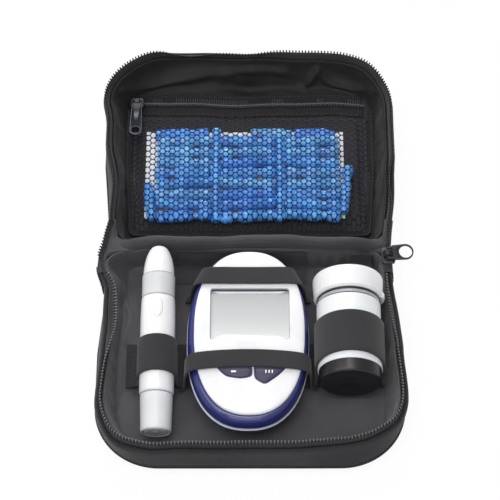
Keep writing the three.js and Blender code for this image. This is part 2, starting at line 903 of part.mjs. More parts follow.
// Each cell carries one whole gap and a quarter of a gap at each corner inside the net
function netCells() {
  const columns = Math.round((net_right - net_left) / net_cell_width);
  const rows = Math.round((net_far - net_near) / net_cell_height);
  const w = (net_right - net_left) / columns / 2;
  const h = (net_far - net_near) / rows / 2;
  const gap_w = w - net_strand * Math.hypot(w, h) / h;
  const gap_h = h - net_strand * Math.hypot(w, h) / w;
  const cells = [];
  for (let i = 0; i < columns; i += 1) {
    for (let j = 0; j < rows; j += 1) {
      const x = net_left + (2 * i + 1) * w;
      const v = net_near + (2 * j + 1) * h;
      const contour = [];
      for (const [sx, sv, first] of [[1, -1, 'v'], [1, 1, 'h'], [-1, 1, 'v'], [-1, -1, 'h']]) {
        const outer_x = i + (sx > 0 ? 1 : 0);
        const outer_v = j + (sv > 0 ? 1 : 0);
        const open = outer_x > 0 && outer_x < columns && outer_v > 0 && outer_v < rows;
        if (open) {
          const along = [x + sx * (w - gap_w), v + sv * h];
          const across = [x + sx * w, v + sv * (h - gap_h)];
          contour.push(...(first === 'v' ? [along, across] : [across, along]));
        } else {
          contour.push([x + sx * w, v + sv * h]);
        }
      }
      const hole = [[x + gap_w, v], [x, v - gap_h], [x - gap_w, v], [x, v + gap_h]];
      cells.push({ contour, hole });
    }
  }
  return cells;
}
add('pocket_net', taperedGeometry(sheet(netCells(), netHeight, net_thick)), net_cord);

const coil_near = coil_v - coil_width / 2 - fit_gap;
const coil_far = coil_v + coil_width / 2 + fit_gap;
add('pocket_zip_tape_lower', block(
  -pocket_half_width,
  pocket_half_width,
  coil_near - pocket_tape_width,
  coil_near,
  band_base,
  band_base + pocket_tape_thick,
), tape_cloth);
add('pocket_zip_tape_upper', block(
  -pocket_upper_half,
  pocket_upper_half,
  coil_far,
  coil_far + pocket_tape_width,
  band_base,
  band_base + pocket_tape_thick,
), tape_cloth);

function coilStrip() {
  const turns = Math.round(2 * coil_half_length / coil_pitch);
  const points = [];
  for (let i = 0; i <= 2 * turns; i += 1) {
    points.push(new THREE.Vector2(-coil_half_length + i * coil_half_length / turns, coil_v));
  }
  const half = coil_width / 2;
  return swept(points, (i) => {
    const top = i % 2 ? coil_peak : coil_valley;
    return [[-half, coil_base], [half, coil_base], [half, top], [-half, top]];
  }, 1);
}
add('pocket_zip_coil', coilStrip(), tooth_plastic);

// Pocket slider: a roof over the coil with a flange on each side and a bail
const pocket_roof = coil_peak + fit_gap;
const pocket_roof_top = pocket_roof + pocket_slider_top;
const roof = block(
  -pocket_slider_length / 2,
  pocket_slider_length / 2,
  -pocket_slider_half,
  pocket_slider_half,
  pocket_roof,
  pocket_roof_top,
);
const flanges = [-1, 1].map((side) => {
  const inner = side * (pocket_slider_half - pocket_slider_flange);
  const outer = side * pocket_slider_half;
  return block(
    -pocket_slider_length / 2,
    pocket_slider_length / 2,
    Math.min(inner, outer),
    Math.max(inner, outer),
    pocket_roof - pocket_slider_flange_drop,
    pocket_roof_top,
  );
});
const pocket_pin_height = pocket_roof_top + pocket_bail_height / 2;
const pocket_bail = block(
  -pocket_bail_half,
  pocket_bail_half,
  -pocket_bail_length / 2,
  pocket_bail_length / 2,
  pocket_roof_top - pocket_slider_top / 2,
  pocket_roof_top + pocket_bail_height,
);
const pocket_pin_hole = new THREE.CylinderGeometry(
  pull_pin_radius + fit_gap,
  pull_pin_radius + fit_gap,
  2 * pocket_bail_half + cut_overrun,
  12,
);
pocket_pin_hole.rotateZ(Math.PI / 2);
pocket_pin_hole.translate(0, 0, pocket_pin_height);
const pocket_slider = cut(joined(roof, ...flanges, pocket_bail), pocket_pin_hole);
pocket_slider.translate(pocket_slider_x, coil_v, 0);
add('pocket_slider', pocket_slider, gunmetal);

const pull_end = pocket_pull_width / 2;
const pocket_pull_shape = roundedShape(
  -pull_end,
  pull_end,
  pocket_pull_reach - pocket_pull_length,
  pocket_pull_reach,
  pull_end - fit_gap,
);
const pull_hole_v = pocket_pull_reach - pocket_pull_length + pull_end;
const pull_hole = roundedShape(
  -pocket_pull_hole,
  pocket_pull_hole,
  pull_hole_v - pocket_pull_hole_length / 2,
  pull_hole_v + pocket_pull_hole_length,
  pocket_pull_hole - fit_gap,
);
pocket_pull_shape.holes.push(pull_hole);
const pocket_pull_half = pocket_pull_thick / 2;
const pocket_pull_plate = plate(pocket_pull_shape, -pocket_pull_half, pocket_pull_half, 3);
const slot_cut = block(
  -pocket_pull_slot,
  pocket_pull_slot,
  -pocket_pull_slot_length,
  pocket_pull_reach + cut_overrun,
  -pocket_pull_thick,
  pocket_pull_thick,
);
const pocket_pin = new THREE.CylinderGeometry(
  pull_pin_radius,
  pull_pin_radius,
  2 * pocket_pull_slot + pull_pin_radius,
  12,
);
pocket_pin.rotateZ(Math.PI / 2);
const pocket_pull = joined(cut(pocket_pull_plate, slot_cut), pocket_pin);
pocket_pull.rotateX(-THREE.MathUtils.degToRad(pocket_pull_lift));
pocket_pull.translate(pocket_slider_x, coil_v, pocket_pin_height);
add('pocket_pull', pocket_pull, gunmetal);

// Card and lancets
add('pocket_card', block(
  card_x - card_width / 2,
  card_x + card_width / 2,
  card_near,
  card_near + card_height,
  band_base,
  card_top,
), card_paper);

function lancet() {
  const body = lancet_length - lancet_cap_length - lancet_neck_length;
  const neck_end = body + lancet_neck_length;
  const profile = [
    [0, 0],
    [lancet_radius - lancet_edge, 0],
    [lancet_radius, lancet_edge],
    [lancet_radius, body - lancet_edge],
    [lancet_neck, body],
    [lancet_neck, neck_end],
    [lancet_radius, neck_end + lancet_edge],
    [lancet_radius, lancet_length - lancet_edge],
    [lancet_neck, lancet_length],
    [0, lancet_length],
  ].map(([radius, along]) => new THREE.Vector2(radius, along - lancet_length / 2));
  const geometry = new THREE.LatheGeometry(profile, lancet_sides);
  geometry.rotateY(Math.PI / lancet_sides);
  geometry.rotateZ(Math.PI / 2);
  return geometry;
}

let lancet_number = 0;
for (let row = 0; row < lancet_rows; row += 1) {
  for (let column = 0; column < lancet_columns; column += 1) {
    lancet_number += 1;
    const geometry = lancet();
    const flip = (row + column) % 2 ? Math.PI : 0;
    geometry.rotateZ(flip + lancet_sway * Math.sin(2.3 * lancet_number + row));
    geometry.translate(
      card_x + lancet_shift + (column - (lancet_columns - 1) / 2) * lancet_column_pitch,
      lancet_near + row * lancet_row_pitch,
      card_top + fit_gap + lancet_radius,
    );
    add(`lancet_${lancet_number}`, geometry, lancet_blue);
  }
}

// Elastic band on the tray floor and its two loops
const band_top = band_base + band_thick;
const loop_foot = band_top + fit_gap;
add('elastic_band_base', block(
  band_left,
  band_right,
  -band_v - band_width / 2,
  -band_v + band_width / 2,
  band_base,
  band_top,
), elastic);

// An arch standing on two flanges turned inward, drawn in the XZ plane and drawn out along Y
function archShape(inner, centre_height, foot) {
  const outer = inner + loop_thick;
  const shape = new THREE.Shape();
  shape.moveTo(-outer, foot);
  shape.lineTo(-outer, centre_height);
  shape.absarc(0, centre_height, outer, Math.PI, 0, true);
  shape.lineTo(outer, foot);
  shape.lineTo(inner - loop_flange, foot);
  shape.lineTo(inner - loop_flange, foot + loop_thick);
  shape.lineTo(inner, foot + loop_thick);
  shape.lineTo(inner, centre_height);
  shape.absarc(0, centre_height, inner, 0, Math.PI, false);
  shape.lineTo(-inner, foot + loop_thick);
  shape.lineTo(loop_flange - inner, foot + loop_thick);
  shape.lineTo(loop_flange - inner, foot);
  return shape;
}

function drawnOut(shape, width, v, segments) {
  const geometry = plate(shape, -width / 2, width / 2, segments);
  geometry.rotateX(Math.PI / 2);
  geometry.translate(0, -v, 0);
  return geometry;
}

const tilt = THREE.MathUtils.degToRad(pen_tilt);
const pen_height_at = (v) => pen_rear_height + (pen_rear_v - v) * Math.tan(tilt);
const pen_loop_height = pen_height_at(band_v);
const pen_loop = drawnOut(archShape(pen_loop_inner, pen_loop_height, loop_foot), band_width, band_v, 10);
const pen_loop_points = pen_loop.getAttribute('position');
for (let i = 0; i < pen_loop_points.count; i += 1) {
  const z = pen_loop_points.getZ(i);
  const rise = (z - loop_foot - loop_thick) / (pen_loop_height - loop_foot - loop_thick);
  const share = Math.min(Math.max(rise, 0), 1);
  pen_loop_points.setZ(i, z + share * (pen_loop_points.getY(i) + band_v) * Math.tan(tilt));
}
pen_loop.translate(pen_x, 0, 0);
add('elastic_loop_pen', pen_loop, elastic);

const vial_height = floor_top + fit_gap + vial_cap_radius;
const label_radius = vial_body_radius + vial_label_gap + vial_label_thick;
const vial_arch = archShape(label_radius + loop_slack, vial_height, loop_foot);
const vial_loop = drawnOut(vial_arch, band_width, band_v, 12);
vial_loop.translate(vial_x, 0, 0);
add('elastic_loop_vial', vial_loop, elastic);

// Meter straps
const meter_base_height = band_top + fit_gap;
const strap_under = meter_base_height + face_top_height + fit_gap + slider_side_gap;
function strapShape(half) {
  const top = strap_under;
  const outer = half + strap_thick;
  const outer_corner = strap_corner + strap_thick;
  const foot = loop_foot;
  const shape = new THREE.Shape();
  shape.moveTo(-outer, foot);
  shape.lineTo(-outer, top - strap_corner);
  shape.absarc(-half + strap_corner, top - strap_corner, outer_corner, Math.PI, Math.PI / 2, true);
  shape.lineTo(half - strap_corner, top + strap_thick);
  shape.absarc(half - strap_corner, top - strap_corner, outer_corner, Math.PI / 2, 0, true);
  shape.lineTo(outer, foot);
  shape.lineTo(half - strap_flange, foot);
  shape.lineTo(half - strap_flange, foot + strap_thick);
  shape.lineTo(half, foot + strap_thick);
  shape.lineTo(half, top - strap_corner);
  shape.absarc(half - strap_corner, top - strap_corner, strap_corner, 0, Math.PI / 2, false);
  shape.lineTo(strap_corner - half, top);
  shape.absarc(strap_corner - half, top - strap_corner, strap_corner, Math.PI / 2, Math.PI, false);
  shape.lineTo(-half, foot + strap_thick);
  shape.lineTo(strap_flange - half, foot + strap_thick);
  shape.lineTo(strap_flange - half, foot);
  return shape;
}
for (const [level, half, v] of [
  ['upper', strap_upper_half, strap_upper_v],
  ['lower', strap_lower_half, strap_lower_v],
]) {
  const strap = drawnOut(strapShape(half), strap_width, v, 5);
  strap.translate(meter_x, 0, 0);
  add(`meter_strap_${level}`, strap, elastic);
}

// Panel folded over the back wall behind the meter
const patch_wall = -lining_back_face - fit_gap;
const panel_shape = new THREE.Shape();
panel_shape.moveTo(patch_wall, band_base);
panel_shape.lineTo(patch_wall, patch_top);
panel_shape.lineTo(patch_wall - patch_thick, patch_top);
panel_shape.lineTo(patch_wall - patch_thick, band_base + patch_thick);
panel_shape.lineTo(patch_wall - patch_reach, band_base + patch_thick);
panel_shape.lineTo(patch_wall - patch_reach, band_base);
const panel = plate(panel_shape, patch_left, patch_right, 1);
panel.applyMatrix4(new THREE.Matrix4().makeBasis(
  new THREE.Vector3(0, 1, 0),
  new THREE.Vector3(0, 0, 1),
  new THREE.Vector3(1, 0, 0),
));
add('meter_back_panel', panel, matte_panel);

// Meter rings
function meterRing(inset, height) {
  const ring = [];
  const a = meter_half_width - inset;
  const b = meter_half_length - inset;
  for (let i = 0; i < meter_steps; i += 1) {
    const angle = (i / meter_steps) * 2 * Math.PI;
    const c = Math.cos(angle);
    const s = Math.sin(angle);
    const x = a * Math.sign(c) * Math.abs(c) ** (2 / meter_power);
    const y = b * Math.sign(s) * Math.abs(s) ** (2 / meter_power);
    ring.push([meter_x + x, y - meter_v, meter_base_height + height]);
  }
  return ring;
}
function meterLoft(profile, capped) {
  return skinned(profile.map(([inset, height]) => meterRing(inset, height)), capped);
}

add('meter_base', meterLoft([
  [meter_base_inset, 0],
  [meter_base_step, meter_base_step_height],
  [meter_belly_inset, meter_belly_height],
  [0, meter_split],
  [meter_wall, meter_split],
  [meter_belly_inset + meter_wall, meter_belly_height],
  [meter_base_step + meter_wall, meter_base_step_height + meter_wall],
], true), meter_blue);
const trim_low = meter_split + fit_gap;
const trim_high = trim_low + meter_trim_height;
add('meter_trim', meterLoft([
  [-meter_trim_proud, trim_low],
  [-meter_trim_proud, trim_high],
  [meter_wall, trim_high],
  [meter_wall, trim_low],
], false), trim_grey);
const frame_low = trim_high + fit_gap;
add('meter_frame', meterLoft([
  [0, frame_low],
  [meter_shoulder_inset, meter_shoulder_height],
  [meter_crest_inset, meter_crest_height],
  [meter_rim_inset, meter_rim_height],
  [meter_rim_inset, meter_shelf_height],
  [meter_shelf_inset, meter_shelf_height],
  [meter_shelf_inset, meter_shelf_height - meter_shelf_thick],
  [meter_crest_inset + meter_wall, meter_shoulder_height - meter_shelf_thick],
  [meter_wall, frame_low],
], false), meter_blue);
const face_inset = meter_rim_inset + fit_gap;
const face_under = meter_shelf_height + fit_gap;
const face_solid = meterLoft([
  [face_inset, face_under],
  [face_inset, face_edge_height],
  [face_inset + face_bevel_inset, face_bevel_height],
  [face_dome_inset, face_dome_height],
  [2 * face_dome_inset, face_top_height],
], true);
const window_far = -window_v + window_height / 2;
const window_near = -window_v - window_height / 2;
const window_cut = plate(
  roundedShape(
    meter_x - window_width / 2,
    meter_x + window_width / 2,
    window_near,
    window_far,
    window_radius,
  ),
  meter_base_height + face_under - cut_overrun,
  meter_base_height + face_top_height + cut_overrun,
  4,
);

// Button outlines: the left one ends in an arc, the right one in a pointed petal
function buttonShape(side, grow) {
  const shape = new THREE.Shape();
  const top = -button_far + grow;
  if (side < 0) {
    const left = button_left - grow;
    const right = button_split - button_gap + grow;
    const low = -button_near - grow;
    shape.moveTo(left + button_corner, top);
    shape.lineTo(left, top - button_corner);
    shape.quadraticCurveTo(left, low, (left + right) / 2, low);
    shape.lineTo(right, low + button_corner);
    shape.lineTo(right, top);
  } else {
    const left = button_split + button_gap - grow;
    const right = button_right + grow;
    const tip = -button_tip - grow;
    shape.moveTo(left, top);
    shape.lineTo(left, tip + button_corner);
    shape.quadraticCurveTo(left + button_corner, tip, left + 2 * button_corner, tip);
    shape.quadraticCurveTo(right, tip + button_corner, right, top - button_corner);
    shape.lineTo(right - button_corner, top);
  }
  return shape;
}
const button_z0 = meter_base_height + button_under;
const button_z1 = meter_base_height + button_top;
function buttonPlate(side, grow, z0, z1) {
  const geometry = plate(buttonShape(side, grow), z0, z1, 5);
  geometry.translate(meter_x, 0, 0);
  return geometry;
}
const button_cuts = [-1, 1].map((side) => (
  buttonPlate(side, button_gap, button_z0 - cut_overrun, button_z1 + cut_overrun)
));
add('meter_face', cut(face_solid, window_cut, ...button_cuts), face_white);
add('meter_button_left', buttonPlate(-1, 0, button_z0, button_z1), button_plum);
add('meter_button_right', buttonPlate(1, 0, button_z0, button_z1), button_plum);
const screen_top = meter_base_height + face_under - fit_gap;
add('meter_screen', plate(
  roundedShape(
    meter_x - window_width / 2 - screen_margin,
    meter_x + window_width / 2 + screen_margin,
    window_near - screen_margin,
    window_far + screen_margin,
    window_radius,
  ),
  screen_top - screen_thick,
  screen_top,
  3,
), screen_grey);
const lens_top = meter_base_height + face_top_height - lens_recess;
add('meter_lens', plate(
  roundedShape(
    meter_x + fit_gap - window_width / 2,
    meter_x + window_width / 2 - fit_gap,
    window_near + fit_gap,
    window_far - fit_gap,
    window_radius - fit_gap,
  ),
  lens_top - lens_thick,
  lens_top,
  3,
), lens_clear);

// Pen pieces are turned round the pen's own axis and then tilted into place
function penPiece(profile, sides) {
  const points = profile.map(([radius, along]) => new THREE.Vector2(radius, along));
  return new THREE.LatheGeometry(points, sides);
}
function placedPen(geometry) {
  geometry.rotateX(tilt);
  geometry.translate(pen_x, -pen_rear_v, pen_rear_height);
  return geometry;
}
const sleeve_end = pen_sleeve_length - pen_joint_gap;
add('pen_sleeve', placedPen(penPiece([
  [0, pen_end_depth],
  [pen_end_radius + fit_gap, pen_end_depth],
  [pen_end_radius + fit_gap, 0],
  [pen_rear_radius - pen_edge, 0],
  [pen_rear_radius, pen_edge],
  [pen_sleeve_radius, sleeve_end - pen_edge],
  [pen_sleeve_radius - pen_edge, sleeve_end],
  [0, sleeve_end],
], pen_sides)), pen_grey);
add('pen_end_plug', placedPen(penPiece([
  [0, -pen_end_proud],
  [pen_end_radius - pen_edge, -pen_end_proud],
  [pen_end_radius, pen_edge - pen_end_proud],
  [pen_end_radius, pen_end_depth - fit_gap],
  [0, pen_end_depth - fit_gap],
], pen_sides)), trim_grey);
const ring_start = pen_ring_start + pen_joint_gap;
const ring_end = pen_ring_end - pen_joint_gap;
const barrel = penPiece([
  [0, pen_sleeve_length],
  [pen_sleeve_radius - pen_edge, pen_sleeve_length],
  [pen_sleeve_radius, pen_sleeve_length + pen_edge],
  [pen_barrel_radius, (pen_sleeve_length + pen_ring_start) / 2],
  [pen_waist_radius, pen_ring_start - pen_edge],
  [pen_waist_radius - pen_edge, pen_ring_start],
  [0, pen_ring_start],
], pen_sides);
const button_low = pen_waist_radius - pen_button_sink;
const button_high = pen_barrel_radius + pen_button_proud;
const pen_button_shape = roundedShape(
  -pen_button_width / 2,
  pen_button_width / 2,
  pen_button_start,
  pen_button_start + pen_button_length,
  pen_button_width / 2 - fit_gap,
);
const pen_button_hole = roundedShape(
  -pen_button_width / 2 - fit_gap,
  pen_button_width / 2 + fit_gap,
  pen_button_start - fit_gap,
  pen_button_start + pen_button_length + fit_gap,
  pen_button_width / 2 - fit_gap,
);
const button_pocket = button_low - pen_button_sink;
add('pen_barrel', placedPen(cut(
  barrel,
  plate(pen_button_hole, button_pocket, button_high + cut_overrun, 5),
)), pen_white);
add('pen_release_button', placedPen(plate(pen_button_shape, button_low, button_high, 5)), pen_grey);
add('pen_depth_ring', placedPen(penPiece([
  [0, ring_start],
  [pen_ring_radius - pen_edge, ring_start],
  [pen_ring_radius, ring_start + pen_edge],
  [pen_ring_radius, ring_end - pen_edge],
  [pen_ring_radius - pen_edge, ring_end],
  [0, ring_end],
], pen_sides)), pen_grey);
add('pen_tip', placedPen(penPiece([
  [0, pen_ring_end],
  [pen_tip_radius - pen_edge, pen_ring_end],
  [pen_tip_radius, pen_ring_end + pen_edge],
  [pen_tip_radius - pen_edge, pen_length - pen_tip_shoulder],
  [pen_nose_radius, pen_length - pen_edge],
  [pen_nose_radius - pen_edge, pen_length],
  [pen_mouth_radius, pen_length],
  [pen_mouth_radius, pen_length - pen_mouth_depth],
  [0, pen_length - pen_mouth_depth],
], pen_sides)), pen_white);

// Vial pieces are turned round an axis along Y, measured from the cap's outer face
function vialPiece(profile) {
  const points = profile.map(([radius, along]) => new THREE.Vector2(radius, along));
  const geometry = new THREE.LatheGeometry(points, vial_sides);
  geometry.rotateX(Math.PI);
  geometry.translate(vial_x, -vial_cap_v, vial_height);
  return geometry;
}
const body_start = vial_cap_length + fit_gap;
const body_end = body_start + vial_body_length;
const bore = vial_body_radius - vial_wall;
add('vial_body', vialPiece([
  [0, body_end],
  [vial_body_radius - vial_edge, body_end],
  [vial_body_radius, body_end - vial_edge],
  [vial_body_radius, body_start],
  [bore, body_start],
  [bore, body_end - vial_wall],
  [0, body_end - vial_wall],
]), vial_black);
const label_start = body_start + vial_label_start;
add('vial_label', vialPiece([
  [label_radius, label_start],
  [label_radius, label_start + vial_label_length],
  [vial_body_radius + vial_label_gap, label_start + vial_label_length],
  [vial_body_radius + vial_label_gap, label_start],
  [label_radius, label_start],
]), label_white);
const plug = bore - vial_plug_gap;
const cap_turned = vialPiece([
  [0, 0],
  [vial_cap_radius - vial_edge, 0],
  [vial_cap_radius, vial_edge],
  [vial_cap_radius, vial_cap_length],
  [plug, vial_cap_length],
  [plug, vial_cap_length + vial_plug_length],
  [0, vial_cap_length + vial_plug_length],
]);
const thumb = block(
  vial_x + vial_cap_radius - vial_edge,
  vial_x + vial_cap_radius + vial_thumb_reach,
  -vial_cap_v - vial_cap_length,
  -vial_cap_v - vial_cap_length + vial_thumb_length,
  vial_height - vial_thumb_width / 2,
  vial_height + vial_thumb_width / 2,
);
add('vial_cap', joined(cap_turned, thumb), cap_white);
add('vial_strips', block(
  vial_x - strip_width / 2,
  vial_x + strip_width / 2,
  -vial_cap_v - body_end + vial_wall + fit_gap,
  -vial_cap_v - body_end + vial_wall + fit_gap + strip_length,
  vial_height - bore + strip_width / 2,
  vial_height - bore + strip_width / 2 + strip_stack,
), strip_cream);

export default group;
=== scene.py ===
import math

import bpy
import numpy as np
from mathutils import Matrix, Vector, noise


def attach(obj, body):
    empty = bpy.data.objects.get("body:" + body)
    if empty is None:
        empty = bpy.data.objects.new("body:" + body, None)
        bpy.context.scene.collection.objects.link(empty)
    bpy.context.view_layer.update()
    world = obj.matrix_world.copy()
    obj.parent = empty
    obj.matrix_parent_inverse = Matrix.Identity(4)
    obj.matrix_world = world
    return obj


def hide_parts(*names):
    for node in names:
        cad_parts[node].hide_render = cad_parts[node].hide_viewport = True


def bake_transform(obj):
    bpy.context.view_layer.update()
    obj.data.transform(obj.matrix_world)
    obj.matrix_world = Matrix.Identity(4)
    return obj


# A zip case for a glucose meter, opened flat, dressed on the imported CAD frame.
# Shapes are drawn in millimetres from the fold line: X across, Y with the tray at -Y and the
# lid at +Y, Z up; v is the distance from the fold. row() turns them into the row frame's metres.
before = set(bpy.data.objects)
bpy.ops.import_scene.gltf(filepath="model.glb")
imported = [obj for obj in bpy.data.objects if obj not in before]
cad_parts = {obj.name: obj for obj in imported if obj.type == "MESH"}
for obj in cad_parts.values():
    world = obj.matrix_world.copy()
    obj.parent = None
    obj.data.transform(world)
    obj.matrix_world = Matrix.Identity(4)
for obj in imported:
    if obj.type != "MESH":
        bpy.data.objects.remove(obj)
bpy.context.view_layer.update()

FOLD_Y = 53.15
TRAY, LID = -1, 1
HALF_NAMES = {TRAY: "tray", LID: "lid"}
SIDE_NAMES = {-1: "left", 1: "right"}
UP, ACROSS, ALONG = (0, 0, 1), (1, 0, 0), (0, 1, 0)

CASE_HALF, CASE_DEPTH = 69.0, 106.0
FRONT_RADIUS, BACK_RADIUS = 29.0, 9.0
FOLD_GAP, FOLD_LIFT = 0.3, 2.4
TAPER, TAPER_END = 4.4 / 69, 50.0
ZIP_INSET, ZIP_BASE = 2.7, 14.3
SPINE_HALF = 47.0
HALF_MIDDLE = 55.0
QUARTER = np.pi / 2
CIRCLE = 2 * np.pi


def row(points):
    return (np.asarray(points, float).reshape(-1, 3) + (0, FOLD_Y, 0)) / 1000


def eased(share):
    held = np.clip(share, 0, 1)
    return held * held * (3 - 2 * held)


def bump(at, centre, reach):
    away = np.abs(np.asarray(at, float) - centre) / reach
    return np.cos(np.clip(away, 0, 1) * QUARTER) ** 2


def rough_field(points, scale, seed):
    """Smooth noise from -1 to 1 at each point; scale is the size of a lump in mm."""
    flat = np.asarray(points, float).reshape(-1, 3) / scale + seed
    return np.array([noise.noise(Vector(p)) for p in flat]).reshape(points.shape[:-1])


def unit(vectors):
    vectors = np.asarray(vectors, float)
    return vectors / np.maximum(np.linalg.norm(vectors, axis=-1, keepdims=True), 1e-9)


def stacked(*columns):
    """Points from their coordinates, each one number or an array."""
    return np.stack(np.broadcast_arrays(*columns), -1).astype(float)


# ---------------------------------------------------------------- lines


def tangents(path):
    return unit(np.gradient(np.asarray(path, float), axis=0))


def run_along(path):
    """The distance walked up to each point of a path."""
    return np.r_[0, np.cumsum(np.linalg.norm(np.diff(path, axis=0), axis=1))]


def looked_up(at, run, path):
    """Every coordinate of a path, read at new places along its run."""
    return np.stack([np.interp(at, run, column) for column in np.asarray(path, float).T], 1)


def evenly(path, count):
    """Points at even distances from a path's first point to its last."""
    run = run_along(path)
    return looked_up(np.linspace(0, run[-1], count), run, path)


def between(steps, count):
    """More steps, with as many between any two of the given ones."""
    return looked_up(np.linspace(0, len(steps) - 1, count), np.arange(len(steps)), steps)


def walked(corners, count):
    """Evenly spaced points round a closed outline."""
    loop = np.vstack([corners, corners[:1]])
    run = run_along(loop)
    return looked_up(np.arange(count) / count * run[-1], run, loop)


def spaced(path, pitch):
    """Points at an even pitch along a path, and the direction there."""
    run = run_along(path)
    count = max(int(round(run[-1] / pitch)), 1)
    at = (np.arange(count) + 0.5) / count * run[-1]
    return looked_up(at, run, path), unit(looked_up(at, run, tangents(path)))


def softened(points, times):
    """An open line smoothed between its two ends."""
    for _ in range(times):
        points[1:-1] = (points[:-2] + 2 * points[1:-1] + points[2:]) / 4
    return points


def arc(cx, cv, radius, start, end, steps):
    angles = np.radians(np.linspace(start, end, steps + 1))
    return stacked(cx + radius * np.cos(angles), cv + radius * np.sin(angles))


def line(start, end, steps):
    return np.linspace(start, end, steps + 1)


def rounded(centres, radius, steps):
    """An outline of four quarter turns about these centres."""
    turns = [arc(*centre, radius, 90 * k, 90 * k + 90, steps) for k, centre in enumerate(centres)]
    return np.vstack(turns)


def disc(radius_a, radius_b, sides):
    angles = np.arange(sides) / sides * CIRCLE
    return stacked(radius_a * np.cos(angles), radius_b * np.sin(angles))


def rounded_band(width, thick):
    """Closed section of a flat band with round edges, centred on its middle."""
    r = thick / 2
    half = width / 2 - r
    right = arc(half, 0, r, -90, 90, 6)
    top = stacked(np.linspace(half, -half, 9)[1:-1], r)
    return np.vstack([right, top, -right, -top])


# ---------------------------------------------------------------- meshes

# How rings of points close up: last row to first, last column to first, both ends filled
SHEET, SLEEVE, WRAP = (False, False, False), (False, True, False), (True, False, False)
HOOP, SOLID = (True, True, False), (False, True, True)


def grid(points, closing):
    """Faces and corner UVs, in mm along the surface, of a rows x columns array of points."""
    rows, cols = points.shape[:2]
    flat = points.reshape(-1, 3)
    index = np.arange(rows * cols).reshape(rows, cols)
    ends = [index[0, ::-1], index[-1]] if closing[2] else []
    if closing[1]:
        index = np.column_stack([index, index[:, :1]])
    if closing[0]:
        index = np.vstack([index, index[:1]])
    down, along = (np.r_[0, np.cumsum(np.linalg.norm(np.diff(flat[index], axis=k), axis=2)
                                      .mean(1 - k))] for k in (0, 1))
    chart = np.stack(np.meshgrid(along, down), -1)
    corners = [np.s_[:-1, :-1], np.s_[:-1, 1:], np.s_[1:, 1:], np.s_[1:, :-1]]
    faces = np.stack([index[c] for c in corners], -1).reshape(-1, 4).tolist()
    uvs = np.stack([chart[c] for c in corners], -2).reshape(-1, 2)
    return faces + [end.tolist() for end in ends], np.vstack([uvs] + [flat[e, :2] for e in ends])


def piece(name, points, faces, look, body=None, nodes="", uvs=None):
    """An object that rides on a body and replaces the CAD nodes named in nodes."""
    points = np.asarray(points, float).reshape(-1, 3)
    mesh = bpy.data.meshes.new(name)
    mesh.from_pydata(row(points).tolist(), [], faces)
    if uvs is None:
        corners = np.zeros(len(mesh.loops), np.int32)
        mesh.loops.foreach_get("vertex_index", corners)
        uvs = points[corners][:, :2]
    layer = mesh.uv_layers.new(name="cloth")
    layer.data.foreach_set("uv", np.asarray(uvs, np.float32).ravel())
    mesh.polygons.foreach_set("use_smooth", [True] * len(mesh.polygons))
    mesh.materials.append(LOOKS[look])
    obj = bpy.data.objects.new(name, mesh)
    bpy.context.scene.collection.objects.link(obj)
    if body:
        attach(obj, body)
    if nodes:
        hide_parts(*nodes.split())
    return obj


def surface(name, rings, look, body=None, nodes="", closing=SOLID):
    """A piece from a rows x columns array of points."""
    rings = np.asarray(rings, float)
    faces, uvs = grid(rings, closing)
    return piece(name, rings, faces, look, body, nodes, uvs)


def formed(rings, closing=SOLID):
    """(points, faces) of rings, as a part for merged()."""
    rings = np.asarray(rings, float)
    return rings.reshape(-1, 3), grid(rings, closing)[0]


def merged(name, parts, look, body=None, nodes=""):
    """One piece from several (points, faces) parts."""
    faces, start = [], 0
    for points, part_faces in parts:
        faces += [[i + start for i in face] for face in part_faces]
        start += len(points)
    return piece(name, np.vstack([points for points, _ in parts]), faces, look, body, nodes)


def bend(obj):
    """Bakes a piece's placement into its mesh."""
    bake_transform(obj)


def swept(path, side, up, section):
    """Rings of a section, given as (along side, along up), carried along a path."""
    path = np.asarray(path, float)
    side, up = (np.broadcast_to(way, path.shape)[:, None] for way in (side, up))
    return path[:, None] + section[:, :1] * side + section[:, 1:] * up


def band(name, path, side, up, width, thick, look, body, nodes=""):
    """A flat band with round edges along a path; side and up may be one vector or many."""
    return surface(name, swept(path, side, up, rounded_band(width, thick)), look, body, nodes)


def tube(path, radius, sides=8, up=UP, closed=False):
    """(points, faces) of a round bar along a path."""
    path = np.asarray(path, float)
    ring = np.vstack([path[-1:], path, path[:1]])
    along = unit(ring[2:] - ring[:-2]) if closed else tangents(path)
    side = unit(np.cross(along, up))
    rings = swept(path, side, np.cross(side, along), disc(radius, radius, sides))
    return formed(rings, HOOP if closed else SOLID)


def copies(shape, origins, *axes):
    """(points, faces) of a small shape set down once at each origin and set of axes."""
    template, faces = shape
    placed = sum(template[:, k:k + 1] * axes[k][:, None] for k in range(3))
    points = (origins[:, None] + placed).reshape(-1, 3)
    starts = range(0, len(points), len(template))
    return points, [[i + start for i in face] for start in starts for face in faces]


# A stitch's rings: place as a share of its length, share of its thickness, lift
STITCH_STEPS = ((-0.5, 0.35, -0.5), (-0.36, 0.9, 0.1), (0, 1, 0.35), (0.36, 0.9, 0.1),
                (0.5, 0.35, -0.5))


def stitches(name, path, up, body, length=1.9, gap=0.9, thick=0.34):
    """A row of short thread stitches lying along a path."""
    points, along = spaced(path, length + gap)
    ups = np.broadcast_to(up, np.shape(path))
    ups = unit(looked_up(np.linspace(0, 1, len(points)), np.linspace(0, 1, len(ups)), ups))
    half = thick / 2
    rings = []
    for share, scale, lift in STITCH_STEPS:
        x, y = disc(half * scale, half * scale, 6).T
        rings.append(stacked(share * length, x, y + lift * half))
    shape = formed(rings, SLEEVE)
    merged(name, [copies(shape, points, along, unit(np.cross(along, ups)), ups)], "thread", body)


# ---------------------------------------------------------------- materials

LOOKS = {}


